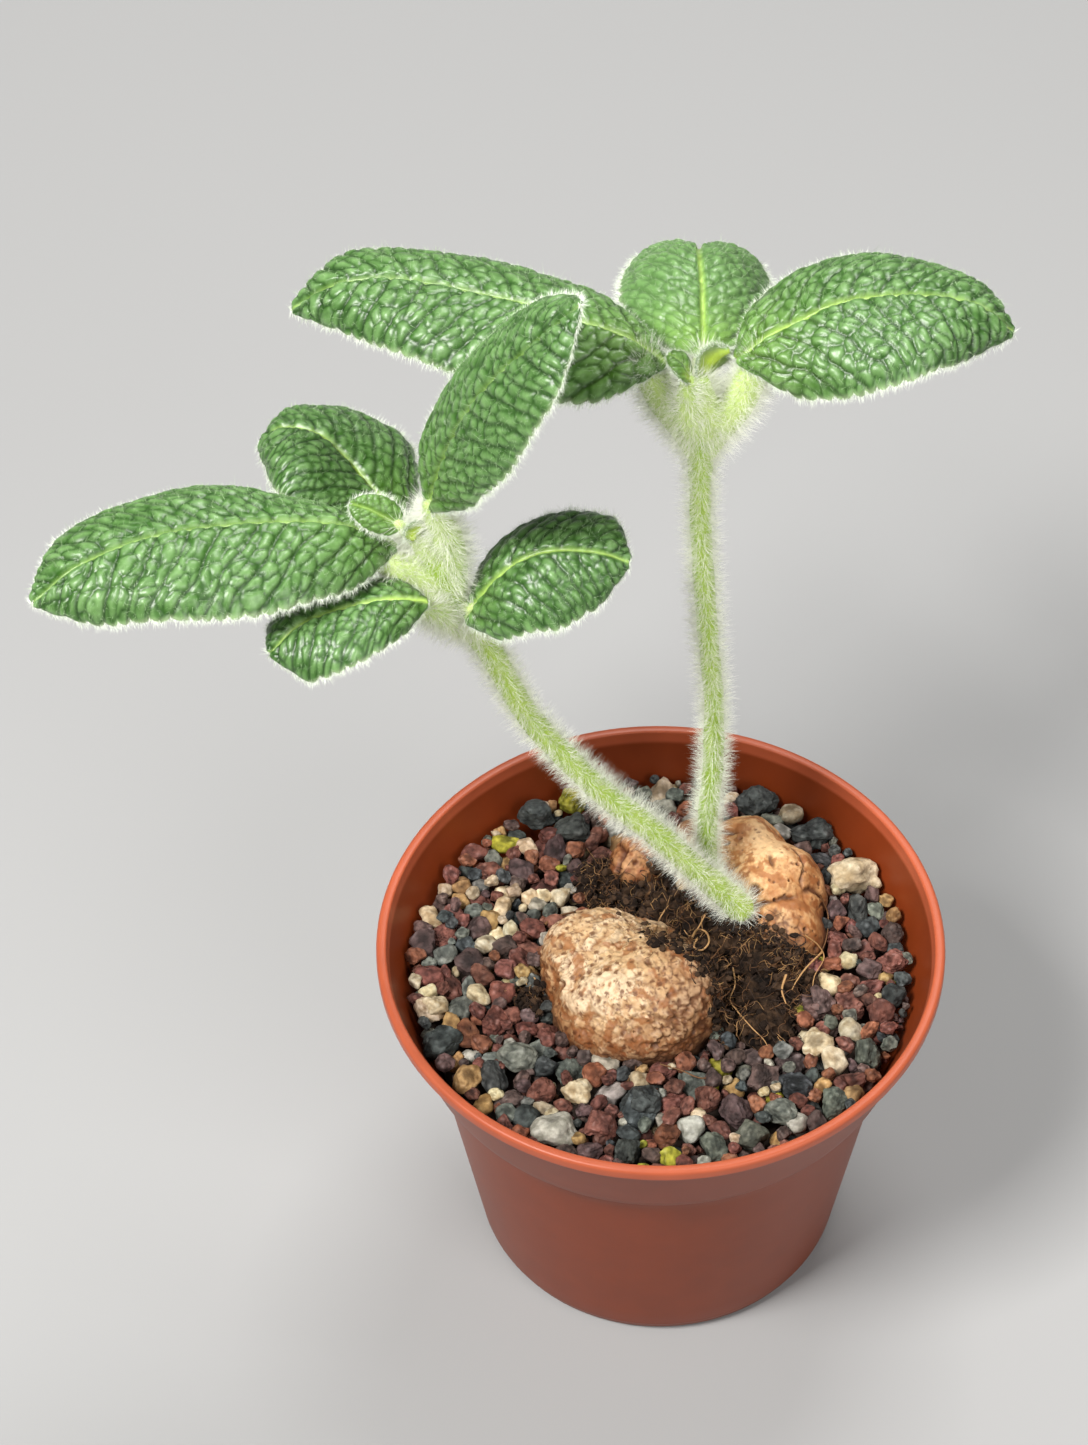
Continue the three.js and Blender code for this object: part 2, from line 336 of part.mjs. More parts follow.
let stemRight = limb([[9.8, 17, 66.4], [9.5, 17, 69.5], [8.5, 17.2, 75.5], [8.6, 17.4, 89.1], [9.2, 17.5, 100.1], [9.2, 17.5, 112.9], [8.9, 17.4, 121.3], [8.2, 17.2, 129.7], [7.1, 17, 145.9], [6.2, 16.8, 161.4], [6, 16.6, 175.2], [5.9, 16.6, 182.1], [5.9, 16.8, 188.6]],
  [2.2, 2, 1.9, 1.85, 1.85, 1.8, 1.8, 1.8, 1.8, 1.8, 1.9, 2.3, 2.2], 9, 20);
stemRight = stemRight.add(limb([[5.6, 16.6, 179], [3.2, 17.4, 184.6], [0.3, 19, 189.4], [-3.4, 21.4, 195]], [2, 2.5, 2.4, 1.6]));
stemRight = stemRight.add(limb([[6.2, 16.6, 179], [8.8, 17, 184.8], [11.8, 17.8, 190.4], [15, 18.8, 197.4]], [2, 2.5, 2.4, 1.6]));
stemRight = stemRight.add(limb([[5.9, 16.6, 183], [6, 19, 187.6], [6.2, 24.6, 191.4]], [2.1, 2, 1.3]));

// ---- leaves ----
const leaves = {};
for (const [name, r] of Object.entries(RAILS)) leaves[name] = BUDS.has(name) ? leaf(r, 8, 2) : leaf(r);
for (const [name, l] of Object.entries(leaves)) {
  const cut = grown(l, GAP * 1.5);
  if (name.includes('_l_')) stemLeft = stemLeft.subtract(cut); else stemRight = stemRight.subtract(cut);
}
const tuberCut = grown(tuber, GAP * 1.2);
stemLeft = stemLeft.subtract(tuberCut);
stemRight = stemRight.subtract(tuberCut);
const stemCut = grown(stemLeft, GAP * 1.3), stemCut2 = grown(stemRight, GAP * 1.3);

// ---- band of root peat between the lobes ----
const peatShape = new THREE.Shape([
  [-12.2, 17.2], [-10.4, 23.2], [-3.6, 18.6], [3.4, 16], [9.5, 13.2], [13.5, 9.5], [19.5, 3.6], [24.5, -1.5],
  [24.6, -8], [24, -16.6], [13.5, -18.2], [9.5, -9.5], [11, -5], [6, 0.5], [-1.5, 7], [-7.5, 13.2],
].map(([x, y]) => new THREE.Vector2(x, y)));
const peatBlock = (extra) => solid(new THREE.ExtrudeGeometry(peatShape, {
  depth: 5.6 + 2 * extra, steps: 1, bevelEnabled: true, bevelThickness: 1.6, bevelSize: 1.5, bevelOffset: extra - 1.0, bevelSegments: 2, curveSegments: 4,
}).translate(0, 0, 62.6 - extra));
let peat = peatBlock(0);
peat = largest(peat.subtract(tuberCut).subtract(stemCut).subtract(stemCut2));

// ---- loose larger stones ----
const STONES = [
  ['stone_slate_a', -22.3, 34.7, 66, 3.4, 'slate'], ['stone_olive', -15.6, 38.0, 66, 2.8, 'olive'],
  ['stone_slate_b', 18.3, 37.6, 66, 2.7, 'slate'], ['stone_slate_c', 27.9, 30.6, 66, 3.1, 'slate'],
  ['stone_cream_a', 35.2, 20.4, 66, 3.8, 'cream'], ['stone_plum', 28.2, -8.0, 66, 2.4, 'plum'],
  ['stone_cream_b', 27.0, -17.4, 66, 2.4, 'cream'], ['stone_slate_d', -3.6, -29.4, 66, 3.1, 'slate'],
  ['stone_cream_c', -14.8, -27.3, 66, 2.8, 'cream'], ['stone_grey', -25.4, -19.9, 66, 2.6, 'grey'],
  ['stone_pale', -18.6, -35.4, 66, 3.0, 'pale'], ['stone_red', -10.6, -34.2, 66, 2.7, 'red'],
  ['stone_ochre', -34.1, -24.2, 66, 2.3, 'ochre'], ['stone_cream_d', -40.0, -8.6, 66, 2.5, 'cream'],
];
const peatCut = peatBlock(GAP + 0.1);
const stones = STONES.map(([name, x, y, z, r, c], i) => {
  const s = stone(x, y, z, r, i + 1).subtract(tuberCut).subtract(peatCut);
  return { name, s, c, cut: stone(x, y, z, r + GAP * 1.4, i + 1) };
});

// ---- gravel layer: an uneven disc of packed grains ----
function disc(rTop, rBot, zTop, zBot, rough, rings, seg) {
  const pos = [], idx = [];
  pos.push(0, 0, zTop + rough * noise(0.3, 0.7, 0.1));
  for (let i = 1; i <= rings; i++) for (let k = 0; k < seg; k++) {
    const r = (rTop * i) / rings, a = (2 * Math.PI * (k + (i % 2) * 0.5)) / seg;
    const x = r * Math.cos(a), y = r * Math.sin(a);
    pos.push(x, y, zTop + rough * noise(x * 0.31, y * 0.31, 3.3));
  }
  const b0 = pos.length / 3;
  for (let k = 0; k < seg; k++) {
    const a = (2 * Math.PI * (k + (rings % 2) * 0.5)) / seg;
    pos.push(rBot * Math.cos(a), rBot * Math.sin(a), zBot);
  }
  const bc = pos.length / 3;
  pos.push(0, 0, zBot);
  const id = (i, k) => 1 + (i - 1) * seg + ((k % seg) + seg) % seg;
  for (let k = 0; k < seg; k++) idx.push(0, id(1, k), id(1, k + 1));
  for (let i = 1; i < rings; i++) for (let k = 0; k < seg; k++) {
    const o = i % 2;
    if (o) { idx.push(id(i, k), id(i + 1, k), id(i + 1, k + 1)); idx.push(id(i, k), id(i + 1, k + 1), id(i, k + 1)); }
    else { idx.push(id(i, k), id(i + 1, k), id(i, k + 1)); idx.push(id(i, k + 1), id(i + 1, k), id(i + 1, k + 1)); }
  }
  for (let k = 0; k < seg; k++) {
    const n = (k + 1) % seg;
    idx.push(id(rings, k), b0 + k, b0 + n); idx.push(id(rings, k), b0 + n, id(rings, k + 1));
    idx.push(bc, b0 + n, b0 + k);
  }
  const g = new THREE.BufferGeometry();
  g.setAttribute('position', new THREE.Float32BufferAttribute(pos, 3));
  g.setIndex(idx);
  return solid(g);
}
let gravel = disc(rIn(GRAVEL_Z - 0.8) - 0.5, rIn(GRIT_TOP + GAP) - 0.45, GRAVEL_Z, GRIT_TOP + GAP, 0.7, 6, 28);
gravel = gravel.subtract(tuberCut).subtract(peatCut).subtract(stemCut).subtract(stemCut2);
for (const s of stones) gravel = gravel.subtract(s.cut);
gravel = largest(gravel);

let grit = solid(new THREE.LatheGeometry([
  [0, FLOOR + GAP], [rIn(FLOOR + 1.4) - 1.7, FLOOR + GAP], [rIn(FLOOR + 2) - 0.45, FLOOR + 2],
  [BODY_TOP_R - WALL - 0.6, COLLAR_Z - 0.9], [BODY_TOP_R - WALL - 0.2, COLLAR_Z + 0.4],
  [COLLAR_BOT_R - WALL - 0.6, GRIT_TOP - 0.2], [COLLAR_BOT_R - WALL - 1.0, GRIT_TOP], [0, GRIT_TOP],
].map(([r, z]) => new THREE.Vector2(r, z)), 28).rotateX(Math.PI / 2)).subtract(tuberCut);

// ---- assembly ----
const root = new THREE.Group();
function put(name, man, colour, rough) {
  const m = new THREE.Mesh(geometry(man), mat(colour, rough));
  m.name = name;
  root.add(m);
}
put('pot', pot, COL.pot, 0.4);
put('grit_filling', grit, COL.grit);
put('gravel_layer', gravel, COL.gravel);
for (const s of stones) put(s.name, s.s, COL[s.c]);
put('tuber', tuber, COL.tuber);
put('root_peat', peat, COL.peat);
put('stem_left', stemLeft, COL.stem, 0.7);
put('stem_right', stemRight, COL.stem, 0.7);
for (const [name, l] of Object.entries(leaves)) put(name, l, BUDS.has(name) ? COL.bud : COL.leaf, 0.6);

export default root;
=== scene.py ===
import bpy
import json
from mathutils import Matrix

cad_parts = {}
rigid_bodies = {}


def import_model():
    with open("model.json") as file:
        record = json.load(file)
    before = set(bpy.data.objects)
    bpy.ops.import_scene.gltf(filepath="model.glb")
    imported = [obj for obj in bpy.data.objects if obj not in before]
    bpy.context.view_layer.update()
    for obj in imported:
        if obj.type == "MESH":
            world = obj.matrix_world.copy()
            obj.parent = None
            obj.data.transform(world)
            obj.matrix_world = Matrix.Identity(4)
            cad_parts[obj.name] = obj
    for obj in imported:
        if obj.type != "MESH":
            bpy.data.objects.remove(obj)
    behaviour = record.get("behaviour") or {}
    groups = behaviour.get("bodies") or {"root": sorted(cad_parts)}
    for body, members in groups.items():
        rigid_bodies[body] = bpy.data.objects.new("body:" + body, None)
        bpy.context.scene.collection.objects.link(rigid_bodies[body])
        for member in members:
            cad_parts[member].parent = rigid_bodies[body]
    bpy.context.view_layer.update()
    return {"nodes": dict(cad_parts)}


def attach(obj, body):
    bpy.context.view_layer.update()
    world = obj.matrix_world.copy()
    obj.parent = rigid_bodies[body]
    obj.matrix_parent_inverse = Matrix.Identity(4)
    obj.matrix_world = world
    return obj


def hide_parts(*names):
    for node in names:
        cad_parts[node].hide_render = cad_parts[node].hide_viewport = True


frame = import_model()

import bpy
import math
import json
import numpy as np
from mathutils import Matrix, Vector

MM = 0.001
RNG = np.random.default_rng(20261125)


# ------------------------------------------------------------------ noise
def _h(i, j, k, seed):
    h = (i.astype(np.int64) * 374761393 + j.astype(np.int64) * 668265263
         + k.astype(np.int64) * 2147483647 + seed * 974634777) & 0xFFFFFFFF
    h = ((h ^ (h >> 13)) * 1274126177) & 0xFFFFFFFF
    h = ((h ^ (h >> 16)) * 2246822519) & 0xFFFFFFFF
    return ((h ^ (h >> 15)) & 0xFFFFFF) / float(0xFFFFFF)


def vnoise(p, seed=0):
    p = np.asarray(p, float)
    i = np.floor(p).astype(np.int64)
    f = p - i
    f = f * f * (3 - 2 * f)
    out = 0
    for a in (0, 1):
        for b in (0, 1):
            for c in (0, 1):
                w = (f[:, 0] if a else 1 - f[:, 0]) * (f[:, 1] if b else 1 - f[:, 1]) * (f[:, 2] if c else 1 - f[:, 2])
                out = out + w * _h(i[:, 0] + a, i[:, 1] + b, i[:, 2] + c, seed)
    return out * 2 - 1


def fbm(p, seed=0, octaves=4, gain=0.5):
    a, s, t = 1.0, 0.0, 0.0
    p = np.asarray(p, float)
    for o in range(octaves):
        s = s + a * vnoise(p * 2 ** o, seed + o * 17)
        t += a
        a *= gain
    return s / t


def worley2(x, y, seed=0, jitter=0.9):
    i, j = np.floor(x).astype(np.int64), np.floor(y).astype(np.int64)
    f1 = np.full(x.shape, 9.0)
    f2 = np.full(x.shape, 9.0)
    cid = np.zeros(x.shape)
    z = np.zeros_like(i)
    for a in (-1, 0, 1):
        for b in (-1, 0, 1):
            px = i + a + 0.5 + jitter * (_h(i + a, j + b, z, seed) - 0.5)
            py = j + b + 0.5 + jitter * (_h(i + a, j + b, z + 1, seed) - 0.5)
            d = np.hypot(x - px, y - py)
            c = _h(i + a, j + b, z + 2, seed)
            new = d < f1
            f2 = np.where(new, f1, np.minimum(f2, d))
            cid = np.where(new, c, cid)
            f1 = np.where(new, d, f1)
    return f1, f2, cid


def worley3(p, seed=0, jitter=0.9):
    i = np.floor(p).astype(np.int64)
    f1 = np.full(len(p), 9.0)
    f2 = np.full(len(p), 9.0)
    cid = np.zeros(len(p))
    for a in (-1, 0, 1):
        for b in (-1, 0, 1):
            for c in (-1, 0, 1):
                I, J, K = i[:, 0] + a, i[:, 1] + b, i[:, 2] + c
                q = np.stack([I + 0.5 + jitter * (_h(I, J, K, seed) - 0.5),
                              J + 0.5 + jitter * (_h(I, J, K, seed + 5) - 0.5),
                              K + 0.5 + jitter * (_h(I, J, K, seed + 9) - 0.5)], 1)
                d = np.linalg.norm(p - q, axis=1)
                h = _h(I, J, K, seed + 13)
                new = d < f1
                f2 = np.where(new, f1, np.minimum(f2, d))
                cid = np.where(new, h, cid)
                f1 = np.where(new, d, f1)
    return f1, f2, cid


def smooth(a, b, x):
    t = np.clip((x - a) / (b - a), 0, 1)
    return t * t * (3 - 2 * t)


def mix(a, b, t):
    t = np.asarray(t)[..., None]
    return np.asarray(a, float) * (1 - t) + np.asarray(b, float) * t


def unit(v):
    return v / np.maximum(np.linalg.norm(v, axis=-1, keepdims=True), 1e-12)


# ------------------------------------------------------------------ meshes
def make(name, verts, faces, col=None, uv=None, mat=None, nodes=(), sharp=False):
    """verts in mm; faces (n,3) or (n,4) or a list of both; col per vertex rgb; uv per loop"""
    me = bpy.data.meshes.new(name)
    blocks = [np.asarray(f, np.int32) for f in (faces if isinstance(faces, list) else [faces]) if len(f)]
    loops = np.concatenate([b.ravel() for b in blocks])
    sizes = np.concatenate([np.full(len(b), b.shape[1], np.int32) for b in blocks])
    starts = np.concatenate([[0], np.cumsum(sizes)[:-1]]).astype(np.int32)
    me.vertices.add(len(verts))
    me.vertices.foreach_set("co", (np.asarray(verts, np.float64) * MM).astype(np.float32).ravel())
    me.loops.add(len(loops))
    me.loops.foreach_set("vertex_index", loops.astype(np.int32))
    me.polygons.add(len(sizes))
    me.polygons.foreach_set("loop_start", starts)
    me.polygons.foreach_set("use_smooth", np.full(len(sizes), not sharp))
    if uv is not None:
        l = me.uv_layers.new(name="OFBake")
        l.data.foreach_set("uv", np.asarray(uv, np.float32).ravel())
    if col is not None:
        a = me.attributes.new("Col", "FLOAT_COLOR", "POINT")
        c = np.ones((len(verts), 4), np.float32)
        c[:, :3] = np.clip(col, 0, 1)
        a.data.foreach_set("color", c.ravel())
    me.update(calc_edges=True)
    me.validate(verbose=False)
    o = bpy.data.objects.new(name, me)
    bpy.context.scene.collection.objects.link(o)
    if mat is not None:
        me.materials.append(mat)
    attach(o, "root")
    if nodes:
        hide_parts(*nodes)
    return o


def curve(pts, t):
    """centripetal-like smooth curve through pts (n,3) at parameters t in 0..1"""
    P = np.asarray(pts, float)
    n = len(P) - 1
    t = np.clip(np.asarray(t, float), 0, 1) * n
    i = np.clip(np.floor(t).astype(int), 0, n - 1)
    f = (t - i)[:, None]
    ext = np.vstack([2 * P[0] - P[1], P, 2 * P[-1] - P[-2]])
    p0, p1, p2, p3 = ext[i], ext[i + 1], ext[i + 2], ext[i + 3]
    return 0.5 * (2 * p1 + (p2 - p0) * f + (2 * p0 - 5 * p1 + 4 * p2 - p3) * f ** 2 + (3 * p1 - p0 - 3 * p2 + p3) * f ** 3)


# ------------------------------------------------------------------ materials
def material(name, base=(0.5, 0.5, 0.5), rough=0.6, sheen=0.0, sheen_rough=0.4, sheen_tint=(1, 1, 1), spec=0.5,
             sss=0.0, sss_r=(1, 0.5, 0.2), sss_scale=0.001, coat=0.0):
    m = bpy.data.materials.new(name)
    m.use_nodes = True
    b = m.node_tree.nodes["Principled BSDF"]
    b.inputs["Base Color"].default_value = (*base, 1)
    b.inputs["Roughness"].default_value = rough
    b.inputs["Specular IOR Level"].default_value = spec
    b.inputs["Sheen Weight"].default_value = sheen
    b.inputs["Sheen Roughness"].default_value = sheen_rough
    b.inputs["Sheen Tint"].default_value = (*sheen_tint, 1)
    b.inputs["Subsurface Weight"].default_value = sss
    b.inputs["Subsurface Radius"].default_value = sss_r
    b.inputs["Subsurface Scale"].default_value = sss_scale
    b.inputs["Coat Weight"].default_value = coat
    return m, m.node_tree, b


def painted(name, rough=0.6, grain=0.0, grain_scale=900.0, bump=0.0, bump_scale=700.0, bump_dist=0.0002, **kw):
    """material that reads the painted colour of the surface, with a little fine grain"""
    m, nt, b = material(name, rough=rough, **kw)
    at = nt.nodes.new("ShaderNodeAttribute")
    at.attribute_name = "Col"
    src = at.outputs["Color"]
    tc = nt.nodes.new("ShaderNodeTexCoord")
    if grain:
        n = nt.nodes.new("ShaderNodeTexNoise")
        n.inputs["Scale"].default_value = grain_scale
        n.inputs["Detail"].default_value = 3
        nt.links.new(tc.outputs["Object"], n.inputs["Vector"])
        r = nt.nodes.new("ShaderNodeMapRange")
        r.inputs["From Min"].default_value = 0.3
        r.inputs["From Max"].default_value = 0.7
        r.inputs["To Min"].default_value = 1 - grain
        r.inputs["To Max"].default_value = 1 + grain
        nt.links.new(n.outputs["Fac"], r.inputs["Value"])
        mx = nt.nodes.new("ShaderNodeVectorMath")
        mx.operation = "SCALE"
        nt.links.new(src, mx.inputs[0])
        nt.links.new(r.outputs["Result"], mx.inputs["Scale"])
        src = mx.outputs["Vector"]
    nt.links.new(src, b.inputs["Base Color"])
    if bump:
        n = nt.nodes.new("ShaderNodeTexNoise")
        n.inputs["Scale"].default_value = bump_scale
        n.inputs["Detail"].default_value = 4
        nt.links.new(tc.outputs["Object"], n.inputs["Vector"])
        bp = nt.nodes.new("ShaderNodeBump")
        bp.inputs["Strength"].default_value = bump
        bp.inputs["Distance"].default_value = bump_dist
        nt.links.new(n.outputs["Fac"], bp.inputs["Height"])
        nt.links.new(bp.outputs["Normal"], b.inputs["Normal"])
    return m


# ------------------------------------------------------------------ hairs
def hairs(root, direction, length, width, bend=None, segments=1):
    """thin tapering blades; returns verts, tris"""
    root = np.asarray(root, float)
    d = unit(np.asarray(direction, float))
    n = len(root)
    length = np.broadcast_to(length, (n,))[:, None]
    width = np.broadcast_to(width, (n,))[:, None]
    side = unit(np.cross(d, RNG.normal(size=(n, 3))))
    if bend is None:
        bend = np.zeros((n, 3))
    rings = []
    for s in range(segments):
        t = s / segments
        c = root + d * length * t + bend * length * t * t
        rings += [c - side * width * 0.5 * (1 - 0.35 * t), c + side * width * 0.5 * (1 - 0.35 * t)]
    rings.append(root + d * length + bend * length)
    V = np.stack(rings, 1)
    per = V.shape[1]
    tri = []
    for s in range(segments - 1):
        a = 2 * s
        tri += [(a, a + 1, a + 3), (a, a + 3, a + 2)]
    tri.append((2 * segments - 2, 2 * segments - 1, per - 1))
    T = np.array(tri)[None] + (np.arange(n) * per)[:, None, None]
    return V.reshape(-1, 3), T.reshape(-1, 3)


# the photograph's eye, used to set things where they are seen
PITCH, YAW, ROLL = 0.8574447842, -0.0154078342, 0.0187293439
EYE = np.array([-12.208851, -488.479184, 697.038421])
_cy, _sy, _cp, _sp = math.cos(YAW), math.sin(YAW), math.cos(PITCH), math.sin(PITCH)
_f = np.array([_sy * _cp, _cy * _cp, -_sp])
_r = np.array([_cy, -_sy, 0.0])
_d = np.cross(_f, _r)
AX_R = math.cos(ROLL) * _r + math.sin(ROLL) * _d
AX_D = -math.sin(ROLL) * _r + math.cos(ROLL) * _d
AX_F = _f


def ray(px, py):
    return unit(AX_F + AX_R * (px - 544) / 4500 + AX_D * (py - 722.5) / 4500)


def at_height(px, py, z):
    d = ray(px, py)
    return EYE + d * ((z - EYE[2]) / d[2])


def on_balls(px, py, balls, lift=0.0):
    """the nearest point of a group of balls at a place in the picture, or of the gravel plane"""
    d = ray(px, py)
    best = (66.2 - EYE[2]) / d[2]
    for x, y, z, r in balls:
        oc = EYE - np.array([x, y, z])
        b = oc @ d
        disc = b * b - oc @ oc + (r + lift) ** 2
        if disc > 0:
            best = min(best, -b - math.sqrt(disc))
    return EYE + d * best


